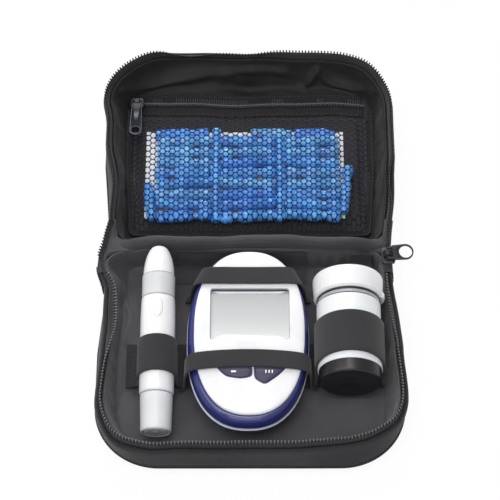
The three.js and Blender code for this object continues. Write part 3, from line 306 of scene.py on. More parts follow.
def feed(tree, node, values):
    """Sets a node's inputs; a value that is a socket is linked."""
    for key, value in values.items():
        if isinstance(value, bpy.types.NodeSocket):
            tree.links.new(value, node.inputs[key])
        else:
            node.inputs[key].default_value = value


def add_node(tree, kind, values=None, **settings):
    made = tree.nodes.new("ShaderNode" + kind)
    for key, value in settings.items():
        setattr(made, key, value)
    feed(tree, made, values or {})
    return made


def maths(tree, operation, *values):
    return add_node(tree, "Math", dict(enumerate(values)), operation=operation).outputs[0]


def noise_node(tree, place, scale, detail=3.0):
    values = {"Vector": place["Object"], "Scale": scale, "Detail": detail}
    return add_node(tree, "TexNoise", values).outputs[0]


def remap(tree, value, *limits):
    """A value from one range to another: from low, from high, to low, to high."""
    return add_node(tree, "MapRange", dict(enumerate((value, *limits)))).outputs[0]


def ramp(tree, factor, stops):
    made = add_node(tree, "ValToRGB", {0: factor})
    while len(made.color_ramp.elements) < len(stops):
        made.color_ramp.elements.new(0.5)
    for element, (at, colour) in zip(made.color_ramp.elements, stops):
        element.position = at
        element.color = colour
    return made.outputs[0]


def linear(code):
    parts = [int(code[i:i + 2], 16) / 255 for i in (1, 3, 5)]
    return tuple(c / 12.92 if c <= 0.04045 else ((c + 0.055) / 1.055) ** 2.4 for c in parts) + (1,)


def shade(colour, share):
    return tuple(min(c * share, 1) for c in colour[:3]) + (1,)


def uneven_tone(tree, factor, low, high, colour, amount):
    """A colour from darker to lighter by this amount where the factor goes from low to high."""
    return ramp(tree, factor, [(low, shade(colour, 1 - amount)), (high, shade(colour, 1 + amount))])


def new_look(name, slot, **sockets):
    """A new material's tree and its texture coordinates, kept under its name in LOOKS."""
    LOOKS[name] = made = bpy.data.materials.new(name)
    made.use_nodes = True
    made["slot"] = slot
    tree = made.node_tree
    values = {key.replace("_", " "): value for key, value in sockets.items()}
    feed(tree, tree.nodes["Principled BSDF"], values)
    return tree, add_node(tree, "TexCoord").outputs


def finish_look(tree, colour, roughness, height, strength, distance):
    values = {"Height": height, "Strength": strength, "Distance": distance / 1000}
    relief = add_node(tree, "Bump", values).outputs[0]
    values = {"Base Color": colour, "Roughness": roughness, "Normal": relief}
    feed(tree, tree.nodes["Principled BSDF"], values)


def cloth(name, slot, code, thread_mm, depth, rough, sheen, ribs, soft, uneven):
    """Woven cloth: a thread grid on the piece's own chart, lumps, and lighter worn patches."""
    tree, place = new_look(
        name, slot, Sheen_Weight=sheen, Sheen_Roughness=0.5, Specular_IOR_Level=0.25)
    split = add_node(tree, "SeparateXYZ", {0: place["UV"]}).outputs
    warp, weft = (maths(tree, "SINE", maths(tree, "MULTIPLY", split[k], CIRCLE / pitch))
                  for k, pitch in ((0, thread_mm), (1, ribs or thread_mm)))
    if ribs:
        weave = maths(tree, "MULTIPLY_ADD", warp, 0.3, weft)
    else:
        weave = maths(tree, "MULTIPLY", warp, weft)
    lumps, patches = noise_node(tree, place, 160.0, 4.0), noise_node(tree, place, 28.0)
    tone = maths(tree, "MULTIPLY_ADD", patches, 0.7, maths(tree, "MULTIPLY", lumps, 0.3))
    worn = uneven_tone(tree, tone, 0.3, 0.7, linear(code), uneven)
    share = maths(tree, "MULTIPLY_ADD", weave, 0.5, 0.5)
    mixed = add_node(
        tree, "Mix", {"Factor": share, "A": 1 - soft, "B": 1 + soft}, data_type="FLOAT")
    values = {0: worn, "Scale": mixed.outputs[0]}
    scaled = add_node(tree, "VectorMath", values, operation="SCALE").outputs[0]
    gloss = remap(tree, lumps, 0.3, 0.7, rough - 0.07, rough + 0.07)
    height = maths(tree, "MULTIPLY_ADD", weave, 0.35, maths(tree, "MULTIPLY", lumps, 1.2))
    finish_look(tree, scaled, gloss, height, depth, 0.25)


def moulded(name, slot, code, rough, grain, metal=0.0, coat=0.0, wear=0.08, tint=0.03,
            patch=60.0, **sockets):
    """Moulded plastic or metal: fine grain, uneven gloss and edges painted lighter, partly as worn
    edges and partly as painted highlight.
    """
    tree, place = new_look(
        name, slot, Metallic=metal, Coat_Weight=coat, Coat_Roughness=0.12, **sockets)
    colour = linear(code)
    broad = noise_node(tree, place, patch)
    edge = add_node(tree, "NewGeometry").outputs["Pointiness"]
    # convex edges are painted lighter by their pointiness: worn edges and painted highlight
    values = {"Factor": remap(tree, edge, 0.5, 0.56, 0.0, wear), "B": shade(colour, 1.8),
              "A": uneven_tone(tree, broad, 0.35, 0.65, colour, tint)}
    lighter = add_node(tree, "Mix", values, data_type="RGBA").outputs["Result"]
    gloss = remap(tree, broad, 0.3, 0.7, max(rough - 0.06, 0.02), rough + 0.06)
    finish_look(tree, lighter, gloss, noise_node(tree, place, 2600.0, 2.0), grain, 0.05)


# Slot, colour, thread in mm, relief, roughness, sheen, ribs in mm, contrast, unevenness
CLOTHS = {
    "shell_cloth": ("nylon", "#242427", 0.55, 0.6, 0.78, 0.12, 0, 0.16, 0.3),
    "satin": ("lining", "#464649", 0.32, 0.35, 0.46, 0.16, 0, 0.06, 0.2),
    # the spine and the gussets' flaps take the lining's satin painted darker: painted shade
    "shaded_spine_satin": ("lining", "#353538", 0.32, 0.35, 0.5, 0.12, 0, 0.06, 0.2),
    # the lid's lining is the same satin painted much darker: painted shade
    "shaded_lid_satin": ("lining", "#131315", 0.32, 0.35, 0.5, 0.08, 0, 0.06, 0.2),
    "pocket_cloth": ("panel_cloth", "#333338", 0.4, 0.5, 0.85, 0.1, 0, 0.16, 0.14),
    "tape": ("tape_cloth", "#1f1f22", 0.6, 0.6, 0.75, 0.1, 0.9, 0.1, 0.3),
    # the lid's zipper tape is the tray's tape painted lighter: painted light
    "lit_lid_tape": ("tape_cloth", "#2b2b2e", 0.6, 0.6, 0.75, 0.1, 0.9, 0.1, 0.3),
    "pocket_tape": ("tape_cloth", "#161619", 0.6, 0.5, 0.85, 0.06, 0.9, 0.1, 0.3),
    "panel_cloth": ("panel_cloth", "#424246", 0.45, 0.5, 0.9, 0.08, 0, 0.16, 0.1),
    "elastic_cloth": ("elastic", "#2e2e30", 0.45, 0.35, 0.9, 0.12, 0.45, 0.07, 0.1),
    "net_yarn": ("net_cord", "#1a1a1e", 0.25, 0.4, 0.7, 0.05, 0, 0.16, 0.12),
}
LANCET_BLUE = {"tint": 0.3, "patch": 150.0, "Subsurface_Weight": 0.15}
# Slot, colour, roughness, grain, and what else sets it apart
PLASTICS = {
    "thread": ("tape_cloth", "#2f2f33", 0.6, 0.3, {}),
    "comb_thread": ("tape_cloth", "#48484c", 0.6, 0.3, {}),
    "tooth_nylon": ("tooth_plastic", "#1b1b1e", 0.5, 0.05, {"wear": 0.2}),
    # the tray's teeth are the same nylon painted lighter and glossier: painted highlight
    "lit_tooth_nylon": ("tooth_plastic", "#55555a", 0.3, 0.05, {"wear": 0.3}),
    "pocket_coil_nylon": ("tooth_plastic", "#3a3a3d", 0.4, 0.1, {"wear": 0.3}),
    "gunmetal": ("gunmetal", "#3a3b3e", 0.4, 0.25, {"metal": 0.9, "wear": 0.9, "tint": 0.1}),
    "dark_gunmetal": ("gunmetal", "#2c2c2f", 0.42, 0.25, {"metal": 0.6, "wear": 0.5, "tint": 0.1}),
    "card_paper": ("card", "#e4e5e9", 0.62, 0.35, {}),
    "lancet_plastic": ("lancet_blue", "#509aff", 0.3, 0.06, LANCET_BLUE),
    "lancet_light": ("lancet_blue", "#66aaff", 0.3, 0.06, LANCET_BLUE),
    "lancet_deep": ("lancet_blue", "#478cf8", 0.3, 0.06, LANCET_BLUE),
    "meter_navy": ("meter_blue", "#272d68", 0.2, 0.04, {"coat": 0.7}),
    "trim_plastic": ("trim_grey", "#b9bcc8", 0.3, 0.06, {}),
    "face_plastic": ("face_white", "#d8d8db", 0.3, 0.05, {"coat": 0.2}),
    "button_rubber": ("button_plum", "#332d48", 0.5, 0.25, {}),
    "mark_white": ("face_white", "#e6e6ea", 0.45, 0.1, {}),
    "pen_white": ("pen_white", "#dcdcde", 0.32, 0.06, {"coat": 0.15}),
    "pen_grey": ("pen_grey", "#c3c4c6", 0.36, 0.1, {}),
    "pen_pale": ("pen_grey", "#c9cacc", 0.36, 0.1, {}),
    "vial_black": ("vial_black", "#17171a", 0.35, 0.12, {}),
    "neck_clear": ("pen_grey", "#9da0a3", 0.12, 0.03, {"coat": 0.6}),
    "vial_label": ("label_white", "#d4d6d9", 0.42, 0.2, {}),
    "cap_white": ("cap_white", "#dcdcde", 0.32, 0.07, {}),
    "strip_cream": ("strip_cream", "#e2dccb", 0.6, 0.3, {}),
}
for look_name, settings in CLOTHS.items():
    cloth(look_name, *settings)
for look_name, (*settings, extras) in PLASTICS.items():
    moulded(look_name, *settings, **extras)

# ---------------------------------------------------------------- the case's outline


def tapered(x, v):
    return x * (1 - TAPER * np.maximum(1 - np.asarray(v, float) / TAPER_END, 0))


def round_front(half, far, radius, near, steps):
    """Runs of a plan up the right side, round the front and back down the left side."""
    return [
        line((half, near), (half, far - radius), steps),
        arc(half - radius, far - radius, radius, 0, 90, 34),
        line((half - radius, far), (radius - half, far), 60),
        arc(radius - half, far - radius, radius, 90, 180, 34),
        line((-half, far - radius), (-half, near), steps),
    ]


def outline(inset, back_inset):
    """Points round one half from the fold's right end: right side, front, left side, fold."""
    half, near = CASE_HALF - inset, FOLD_GAP + back_inset
    back = max(BACK_RADIUS - back_inset, 0.5)
    runs = [
        arc(half - back, near + back, back, -90, 0, 8),
        *round_front(half, CASE_DEPTH - inset, FRONT_RADIUS - inset, near + back, 46),
        arc(back - half, near + back, back, 180, 270, 8),
        line((back - half, near), (half - back, near), 90),
    ]
    x, v = np.vstack([run[:-1] for run in runs]).T
    return tapered(x, v), v


def rim_path(start, inset=ZIP_INSET):
    """The zipper's way round one half, (x, distance from the fold), finely spaced."""
    runs = round_front(CASE_HALF - inset, CASE_DEPTH - inset, FRONT_RADIUS - inset, start, 60)
    x, v = np.vstack([run[:-1] for run in runs] + [runs[-1][-1:]]).T
    return stacked(tapered(x, v), v)


def scaled(points, centre, share):
    return centre + (points - centre) * share


# Where the soft walls lean: side, place along Y, reach, millimetres outward at the rim
SIDE_LEANS = (
    (-1, -9, 15, 4.6), (-1, -50, 30, -1.9), (-1, 36, 24, -2.4), (-1, 88, 20, 3.2),
    (1, 26, 20, 0.9), (1, -20, 18, -0.8), (1, -74, 22, 1.4),
)
# Where the tray's front wall and the lid's far wall lean: half, place along X, reach, mm outward
FRONT_LEANS = ((TRAY, 0, 120, -2.6), (TRAY, 47, 28, -3.2), (TRAY, -62, 16, 2.2),
               (LID, 0, 130, 3.4), (LID, -34, 40, 1.8))
LEAN_BASE, LEAN_RIM = 2.0, 15.0


def leaned(points):
    """Moves points of the case's walls as the soft walls lean, more towards the rim."""
    points = np.array(points, float)
    x, y, z = np.moveaxis(points.copy(), -1, 0)
    rise = eased((z - LEAN_BASE) / (LEAN_RIM - LEAN_BASE))
    at_side = eased((np.abs(x) - 46) / 16)
    at_front = eased((np.abs(y) - 84) / 14)
    for side, centre, reach, amount in SIDE_LEANS:
        points[..., 0] += (x * side > 0) * side * amount * bump(y, centre, reach) * rise * at_side
    for half, centre, reach, amount in FRONT_LEANS:
        points[..., 1] += (y * half > 0) * half * amount * bump(x, centre, reach) * rise * at_front
    wave = 0.5 * np.sin(x * 0.11 + y * 0.07) + 0.3 * np.sin(x * 0.23 - y * 0.19 + 1)
    points[..., 2] += wave * rise * np.maximum(at_side, at_front)
    return points


def on_wall(half, plan, height):
    """A half's (x, distance from the fold) plan at a height on its leaning wall."""
    return leaned(stacked(plan[:, 0], half * plan[:, 1], height))


def pan(half, profile, centre_rings=0):
    """Rings of one half from (inset, back inset, height, share of the rise at the fold) steps."""
    rings = []
    for inset, back_inset, height, share in profile:
        x, v = outline(inset, back_inset)
        near_fold = v < back_inset + FOLD_GAP + 1
        lift = share * FOLD_LIFT * eased((SPINE_HALF + 6 - np.abs(x)) / 6) * near_fold
        rings.append(stacked(x, half * v, height + lift))
    last = rings[-1]
    middle = (0, half * HALF_MIDDLE, last[0, 2])
    shares = np.linspace(1, 0.02, centre_rings + 1)[1:]
    return np.array(rings + [scaled(last, middle, (s, s, 1)) for s in shares])


def smooth_profile(steps, count):
    """More steps of a profile, rounded through the given ones."""
    steps = np.asarray(steps, float)
    run = run_along(steps[:, :3])
    return softened(looked_up(np.linspace(0, run[-1], count), run, steps), 3)


SHELL_STEPS = [
    (16, 8, 0.35, 0), (7, 3.4, 0.05, 0), (5, 1.3, 0.0, 0), (3.1, 1.3, 0.4, 0), (1.5, 1.3, 1.5, 0),
    (0.4, 0.6, 3.2, 0), (0.25, 0.3, 4.4, 0), (0, 0.1, 6, 0), (0, 0, 10, 0.5), (0, 0, 13.4, 1),
    (0.4, 0.1, 14.6, 1), (1.2, 0.7, 15.0, 1), (2.0, 1.5, 14.5, 1), (2.3, 1.8, 12.5, 0.8),
    (2.4, 1.8, 10, 0.5),
]
LINING_STEPS = [
    (3.3, 1.9, 12.5, 0.8), (3.5, 2.1, 14.6, 1), (4.1, 2.4, 15.5, 1), (4.9, 3.0, 15.2, 1),
    (5.4, 3.4, 13, 0.8), (6.0, 3.5, 10, 0.5), (6.8, 3.6, 7, 0), (7.7, 3.7, 4.4, 0),
    (8.6, 3.9, 3.0, 0), (9.8, 4.6, 2.45, 0), (12, 6, 2.35, 0),
]
# Folds in the linings: points (x, distance from the fold) along the crest, width, height
CRESTS = {
    LID: (
        (((-62, 30), (-61, 50), (-62, 70)), 2.0, 0.9),
        (((62, 34), (61, 56), (62, 74)), 2.0, 0.8),
    ),
    TRAY: (
        (((-60, 30), (-58, 52), (-60, 76)), 2.4, 1.0),
        (((-52, 84), (-30, 95), (0, 97.5)), 3.0, 0.7),
        (((29, 2.5), (31, 13)), 1.1, 1.6),
        (((35, 2.5), (36, 11)), 1.0, 1.3),
        (((41, 2.5), (42, 12)), 1.2, 1.7),
        (((47, 2.5), (47, 10)), 1.0, 1.2),
        (((-60, 14), (-55, 30), (-57, 44)), 1.6, 1.4),
        (((-50, 6), (-54, 18), (-52, 30)), 1.6, 1.2),
        (((58, 24), (60, 48), (58, 74)), 2.2, 0.8),
    ),
}
# Folds of the lid's far wall, placed along X and along 0.866 Y + 0.5 Z, up the floor and the wall
RISE_Y, RISE_Z = 0.866, 0.5
FAR_CRESTS = (
    (((-60, 82.6), (-50, 85.4), (-40, 88), (-20.5, 90.6), (-9, 90.6)), 1.7, 2.7),
    (((-13, 91.2), (6, 91.6), (18, 91.2), (24, 89)), 1.3, 1.6),
    (((26.5, 85.4), (29.5, 88.5), (33, 92.2)), 1.3, 2.4),
    (((33, 92.2), (38, 88.4), (45, 86), (60, 82.8)), 1.7, 2.5),
    (((21, 91), (25.5, 87.5)), 1.6, -1.5),
    (((-44, 83.5), (-30, 85.5), (-16, 85)), 2.2, 0.9),
)
# The hollow between those folds: its middle, reach and depth
HOLLOW_X, HOLLOW_RISE, HOLLOW_WIDE, HOLLOW_HIGH, HOLLOW_DEPTH = 0.0, 84.5, 14.0, 5.0, -1.9


def crest_height(x, v, crest, width, height):
    crest = np.asarray(crest, float)
    nearest, share = np.full(x.shape, 1e9), np.zeros(x.shape)
    run = run_along(crest)
    for start, end, before, length in zip(crest[:-1], crest[1:], run, np.diff(run)):
        way = (end - start) / length
        along = np.clip((x - start[0]) * way[0] + (v - start[1]) * way[1], 0, length)
        away = np.hypot(x - start[0] - way[0] * along, v - start[1] - way[1] * along)
        closer = away < nearest
        nearest = np.where(closer, away, nearest)
        share = np.where(closer, (before + along) / run[-1], share)
    fade = 0.35 + 0.65 * np.sin(np.pi * np.clip(share, 0.08, 0.92))
    return height * np.exp(-(nearest / width) ** 2) * fade


def folded(half, rings):
    """Adds the lining's folds and small ripples to its rings, along each point's own normal."""
    x, v, z = rings[..., 0], np.abs(rings[..., 1]), rings[..., 2]
    along = np.roll(rings, -1, 1) - np.roll(rings, 1, 1)
    normals = unit(np.cross(along, np.gradient(rings, axis=0)))
    inward = np.where(normals[..., 2:] < 0, -normals, normals)
    amount = sum(crest_height(x, v, *crest) for crest in CRESTS[half])
    if half == LID:
        risen = RISE_Y * v + RISE_Z * z
        amount += sum(crest_height(x, risen, *crest) for crest in FAR_CRESTS)
        hollow = bump(x, HOLLOW_X, HOLLOW_WIDE) * bump(risen, HOLLOW_RISE, HOLLOW_HIGH)
        amount += HOLLOW_DEPTH * hollow
    else:
        # the front wall stands back where the meter and the pen come close
        amount -= 1.0 * eased((v - 94) / 3) * eased((x + 56) / 6) * eased((32 - x) / 6)
    margin = np.minimum(CASE_HALF - np.abs(x), CASE_DEPTH - v)
    near_wall = eased(margin / 4 - 0.7) * eased((15 - margin) / 5)
    flatter = rings * (1, 1, 0.4)
    ripples = 0.55 * rough_field(flatter, 9.0, 3.1) + 0.3 * rough_field(rings, 3.6, 7.7)
    amount += ripples * near_wall
    held = eased((14.5 - z) / 3)
    return rings + inward * (np.maximum(amount, -1.6) * held)[..., None]


def make_shell(half):
    name = HALF_NAMES[half]
    rings = leaned(pan(half, smooth_profile(SHELL_STEPS, 44)))
    rings[..., 2] += 0.12 * rough_field(rings, 14.0, 5.0) * (rings[..., 2] > 3)
    inner = [scaled(rings[0], rings[0].mean(0), (s, s, 1)) for s in (0.001, 0.1, 0.3, 0.55, 0.8)]
    shell = surface(f"{name}_shell_cloth", np.concatenate([inner, rings]), "shell_cloth", name,
                    f"{name}_shell", SLEEVE)
    path = on_wall(half, rim_path(9.3, 0.35), 3.5)
    merged(f"{name}_piping", [tube(path, 0.7)], "shell_cloth", name)
    outward = unit(np.cross(tangents(path), UP)) * -half
    seam = on_wall(half, rim_path(9.3, -0.05), 5.0)
    stitches(f"{name}_piping_stitches", seam, outward, name, thick=0.26)


def make_lining(half, look):
    name = HALF_NAMES[half]
    rings = leaned(folded(half, pan(half, smooth_profile(LINING_STEPS, 40), 22)))
    lining = surface(f"{name}_lining_cloth", rings[::-1], look, name, f"{name}_lining", SLEEVE)


make_shell(TRAY)
make_shell(LID)
make_lining(TRAY, "satin")
# the lid's lining takes the darker copy of the satin: painted shade
make_lining(LID, "shaded_lid_satin")

# ---------------------------------------------------------------- zipper

TOOTH_PITCH, TAPE_RISE = 1.55, 2.6
# How far the tape leans outward in degrees; then half, side (0 the front), place, reach, degrees
TAPE_LEAN = {TRAY: -5.0, LID: 20.0}
TAPE_LEANS = (
    (TRAY, -1, 36, 30, -60), (TRAY, 1, 34, 26, -18), (TRAY, 0, 0, 50, -6),
    (LID, 0, -28, 26, -62), (LID, 0, 0, 20, -40), (LID, 1, 34, 16, -30),
)
# A tooth's rings: distance out from the tape's edge, half length, half thickness
TOOTH_STEPS = ((-1.1, 0.2, 0.26), (-0.8, 0.28, 0.46), (0.2, 0.28, 0.44), (0.8, 0.36, 0.46),
               (1.15, 0.36, 0.42), (1.4, 0.2, 0.2))


def lean_at(half, x, v):
    degrees = np.full(x.shape, TAPE_LEAN[half])
    for tape_half, side, centre, reach, amount in TAPE_LEANS:
        if tape_half == half and side:
            degrees += amount * bump(v, centre, reach) * (x * side > 0)
        elif tape_half == half:
            degrees += amount * bump(x, centre, reach) * eased((v - 80) / 14)
    return np.radians(degrees)


def tooth_row(name, edge, outs, look="tooth_nylon", body=None, nodes=""):
    """Teeth set along the tape's free edge, each reaching out past it."""
    points, ways = spaced(edge, TOOTH_PITCH)
    at = (np.arange(len(points)) + 0.5) / len(points)
    out = unit(looked_up(at, np.linspace(0, 1, len(edge)), outs))
    ways = unit(ways - out * (ways * out).sum(1, keepdims=True))
    shape = formed([stacked(far, *disc(a, b, 8).T) for far, a, b in TOOTH_STEPS])
    teeth = [copies(shape, points, out, ways, np.cross(out, ways))]
    return merged(name, teeth, look, body, nodes)


def zip_band(name, base, outward, lean, look, body=None, nodes="", rise=TAPE_RISE):
    """Tape that stands up from base points and leans over; returns its edge and directions."""
    out, half_way = (np.cos(angle)[:, None] * UP + np.sin(angle)[:, None] * outward
                     for angle in (lean, lean / 2))
    thick = np.cross(tangents(base), out) * 0.38
    middle = base + half_way * 1.2
    reach = out * np.broadcast_to(rise, len(base))[:, None]
    columns = [base - (0, 0, 4.0), base - (0, 0, 2.0), base, base + half_way * 0.6, middle,
               middle + reach * 0.5, middle + reach]
    rings = np.stack([c + thick for c in columns] + [c - thick for c in columns[::-1]], 1)
    return surface(name, rings, look, body, nodes), columns[-1], out


def make_zip(half, start, tape_look, tooth_look):
    name = HALF_NAMES[half]
    plan = evenly(rim_path(start), 420)
    base = on_wall(half, plan, ZIP_BASE)
    outward = unit(np.cross(tangents(base), UP))
    from_middle = ((base - (0, half * HALF_MIDDLE, 14)) * outward).sum(1, keepdims=True)
    outward = np.where(from_middle < 0, -outward, outward)
    edge, out = zip_band(f"{name}_zip_tape_cloth", base, outward, lean_at(half, *plan.T),
                         tape_look, name, f"{name}_zip_tape")[1:]
    tooth_row(f"{name}_zip_tooth_row", edge, out, tooth_look, name, f"{name}_zip_teeth")
    face = np.cross(tangents(edge), out)
    for height, row_tag in ((0.3, 30), (0.75, 75)):
        for side, side_tag in ((-1, "in"), (1, "out")):
            path = base + out * (0.6 + 2.2 * height) + face * 0.42 * side
            stitches(f"{name}_zip_stitches_{row_tag}_{side_tag}", path, face * side, name,
                     1.3, 0.5, 0.24)


# the tray's teeth take the lighter copy of the tooth nylon: painted highlight
make_zip(TRAY, 16, "tape", "lit_tooth_nylon")
# the lid's tape is the same tape painted lighter: painted light
make_zip(LID, 12, "lit_lid_tape", "tooth_nylon")

# ---------------------------------------------------------------- fold: spine ridge and gussets

SPINE_FOOT, SPINE_REACH, SPINE_DROP = 12.5, 61.5, 6.6
# The gusset's top, where its flap starts and ends, and the linings' rounded corners
GUSSET_TOP, FLAP_START, FLAP_REACH, CORNER_INSET, CORNER_RADIUS = 15.7, 3.6, 46.0, 9, 5.6
# The lid's zipper over the fold: the height of its foot, its start, and its end on each side
CROSSING_BASE, CROSSING_START, CROSSING_ENDS = 14.4, 13.5, {-1: -17.0, 1: -1.0}
# The zipper's end tabs: the right one's middle, both heights, both widths and thicknesses
TAB_RIGHT_X, TAB_RIGHT_Z, TAB_LEFT_Z = 50.8, 13.2, 10.2
TAB_RIGHT_SIZE, TAB_LEFT_SIZE = (10.6, 1.0), (6.5, 0.7)
# The spine's section over the fold and the gusset's past the wall's edge: out, height
SPINE_STEPS = [(-3.5, 12.5), (-3.4, 15.5), (-3.0, 18.2), (-2.1, 20.6), (-0.9, 22.0), (0.4, 22.3),
               (1.6, 21.6), (2.6, 19.8), (3.2, 17.2), (3.5, 14.5), (3.5, 12.5)]
GUSSET_STEPS = [(-6, 0.3), (-3, 0.35), (-1.2, 1.2), (-0.2, 3.4), (0.3, 6), (0.3, 10),
                (0.2, 13.2), (-0.5, 14.9), (-2.0, 15.6), (-3.6, 15.7)]


def fold_bulge(side, ys):
    """How far the wall bulges out at the fold in mm; only the left side does."""
    return 2.6 * bump(ys, 3.0, 12.5) if side < 0 else 0 * ys


def make_spine():
    """The spine strip, folded up between the halves."""
    x = np.linspace(-SPINE_REACH, SPINE_REACH, 150)[:, None]
    y, z = between(SPINE_STEPS, 31).T
    height = (z - SPINE_FOOT) / 10
    rings = stacked(x, y, z)
    rings[..., 2] -= (1 - eased((62 - np.abs(x)) / 17)) * height * SPINE_DROP
    rings[..., 2] += (0.55 * np.sin(x * 0.13) + 0.25 * np.sin(x * 0.31 + 2)) * height
    rings[..., 1] += 0.5 * np.sin(x * 0.09 + 1) * height
    rings[..., 2] += 0.3 * rough_field(rings, 5.0, 2.0) * height
    ridge = surface("spine_ridge", rings, "shaded_spine_satin", None, "spine_fold", SHEET)
    bend(ridge)


def make_gusset(side):
    """The wall that carries on past the fold between the halves' rounded back corners."""
    ys = np.linspace(-14, 14, 57)
    away = np.abs(ys)
    wall = softened(between(GUSSET_STEPS, 40), 2)
    edge = tapered(CASE_HALF, away)
    # the inner flap fills the gap between the two linings' rounded corners
    depth = np.clip(CORNER_INSET - away, 0, CORNER_RADIUS)
    corner = edge - CORNER_INSET + np.sqrt(CORNER_RADIUS ** 2 - depth ** 2)
    reach = np.where(away < 3.4, FLAP_REACH, np.minimum(corner + 0.6, edge - 4.0))
    shares = np.linspace(0, 1, 20)[1:]
    inner = (edge - FLAP_START)[:, None] + (reach - edge + FLAP_START)[:, None] * shares
    drop = -0.9 * eased(shares * 1.2 - 0.2) * eased((away - 1.5) / 2.5)[:, None]
    loose = np.r_[eased((wall[:, 1] - 3) / 9), 1 - shares]
    x = np.hstack([edge[:, None] + wall[:, 0], inner]) + 0.25
    x += fold_bulge(side, ys)[:, None] * loose
    z = np.hstack([np.tile(wall[:, 1], (len(ys), 1)), GUSSET_TOP + drop])
    rings = leaned(stacked(side * x, ys[:, None], z))
    rings[..., 2] += 0.5 * rough_field(rings, 5.5, 9.0) * eased((rings[..., 2] - 4) / 6)
    gusset = surface(f"fold_gusset_{SIDE_NAMES[side]}", rings, "shaded_spine_satin", closing=SHEET)
    # the outer side is the shell's cloth and the flap inside is the lining's satin in its darker
    # copy, painted shade
    gusset.data.materials.append(LOOKS["shell_cloth"])
    outer = np.arange(rings.shape[1] - 1) < len(wall) - 8
    material = np.tile(outer, len(ys) - 1).astype(np.int32)
    gusset.data.polygons.foreach_set("material_index", material)
    bend(gusset)


def make_crossing(side):
    """The lid's zipper carried over the fold to its end beside the slider or the left bulge."""
    ys = np.linspace(CROSSING_START, CROSSING_ENDS[side], 46)
    x = tapered(CASE_HALF - ZIP_INSET, np.abs(ys)) + fold_bulge(side, ys)
    base = leaned(stacked(side * x, ys, CROSSING_BASE))
    outward = np.tile([side, 0.0, 0.0], (len(ys), 1))
    end_lean = -15 if side < 0 else 34
    lean = np.radians(np.interp(-ys, (-CROSSING_START, 6.0, 17.0), (20, 34, end_lean)))
    rise = TAPE_RISE - 2.2 * eased((-7.0 - ys) / 8.0)
    if side > 0:
        # room for the main slider
        rise -= 1.1 * bump(ys, 7.0, 9.0)
    name = SIDE_NAMES[side]
    tape, free, out = zip_band(
        f"zip_crossing_{name}", base, outward, lean, "lit_lid_tape", rise=rise)
    toothed = ys > -9
    bend(tape)
    bend(tooth_row(f"zip_crossing_teeth_{name}", free[toothed], out[toothed]))


def make_end_tabs():
    ys = np.linspace(-4.2, -10.9, 18)
    wave = 0.5 * np.sin((ys + 4) * 0.45)
    path = stacked(TAB_RIGHT_X + 0.35 * np.sin(ys), ys, TAB_RIGHT_Z + wave)
    up = unit(np.cross(ACROSS, tangents(path)))
    up = np.where(up[:, 2:] < 0, -up, up)
    band("zip_end_cloth_right", path, ACROSS, up, *TAB_RIGHT_SIZE, "tape", "tray",
         "zip_end_tab_right")
    seam = path[2:-2] + (4.4, 0, 0.55)
    stitches("zip_end_stitches_right", seam, UP, "tray", 1.1, 0.5, 0.28)
    ys = np.linspace(-10, -21, 20)
    path = stacked(-tapered(CASE_HALF + 0.55, -ys), ys, TAB_LEFT_Z)
    rings = leaned(swept(path, UP, (-1, 0, 0), rounded_band(*TAB_LEFT_SIZE)))
    surface("zip_end_cloth_left", rings, "shell_cloth", "tray", "zip_end_tab_left")
    seam = leaned(path[2:-2] + (-0.4, 0, 2.3))
    stitches("zip_end_stitches_left", seam, (-1, 0, 0), "tray", 1.1, 0.5, 0.28)


make_spine()
for fold_side in (-1, 1):
    make_gusset(fold_side)
    make_crossing(fold_side)
make_end_tabs()

# ---------------------------------------------------------------- pocket in the lid

POCKET_HALF, POCKET_NEAR, POCKET_FAR = 56.4, 12.0, 79.6
NET_REST, NET_CROWN = 3.9, 9.7
NET_THICK = 0.34
CELL_X, CELL_Y, STRAND, CELL_BAR = 2.32, 3.05, 0.23, 0.55
POCKET_BACK_Z = 2.66
BINDING_Z, BINDING_WIDE, BINDING_THICK = 3.3, 3.3, 0.9
# The coil: its line, its turns' half width, half height and pitch, its wire's radius
COIL_V, COIL_Z = 86.0, 4.1
COIL_WIDE, COIL_HIGH, COIL_PITCH, COIL_WIRE = 0.95, 0.42, 1.3, 0.3
CARD_X, CARD_V, CARD_TOP, CARD_THICK = (-50.0, 45.0), (21.5, 70.5), 3.28, 0.42
# Where dashes show past the coil, from x to x, and how far from the coil they reach
COMB_RUNS, COMB_PITCH = ((-47, -43), (-36, -1), (11, 16), (33, 36), (48, 54)), 1.15
COMB_REACH = (1.25, 1.9, 2.9, 3.6)


def net_height(x, v):
    """The net over the heap: flat at its border, domed inside, pushed up by one lancet."""
    side = (POCKET_HALF - 0.3 - np.abs(x) - 1.8) / 4.2
    near, far = POCKET_NEAR + 3.5, POCKET_FAR - 0.3
    share = eased(side) * eased((v - near) / 5.5) * eased((far - v) / 13.5)
    lumps = 0.28 * np.sin(x * 0.42 + 0.6 * np.sin(v * 0.2)) * np.sin(v * 0.55 + x * 0.05)
    pushed = 2.6 * bump(x, -52.5, 4.2) * bump(v, 35.0, 7.0)
    dome = (NET_CROWN - NET_REST + lumps) * share
    return np.minimum(NET_REST + 0.3 + dome + pushed, NET_CROWN + 0.6)


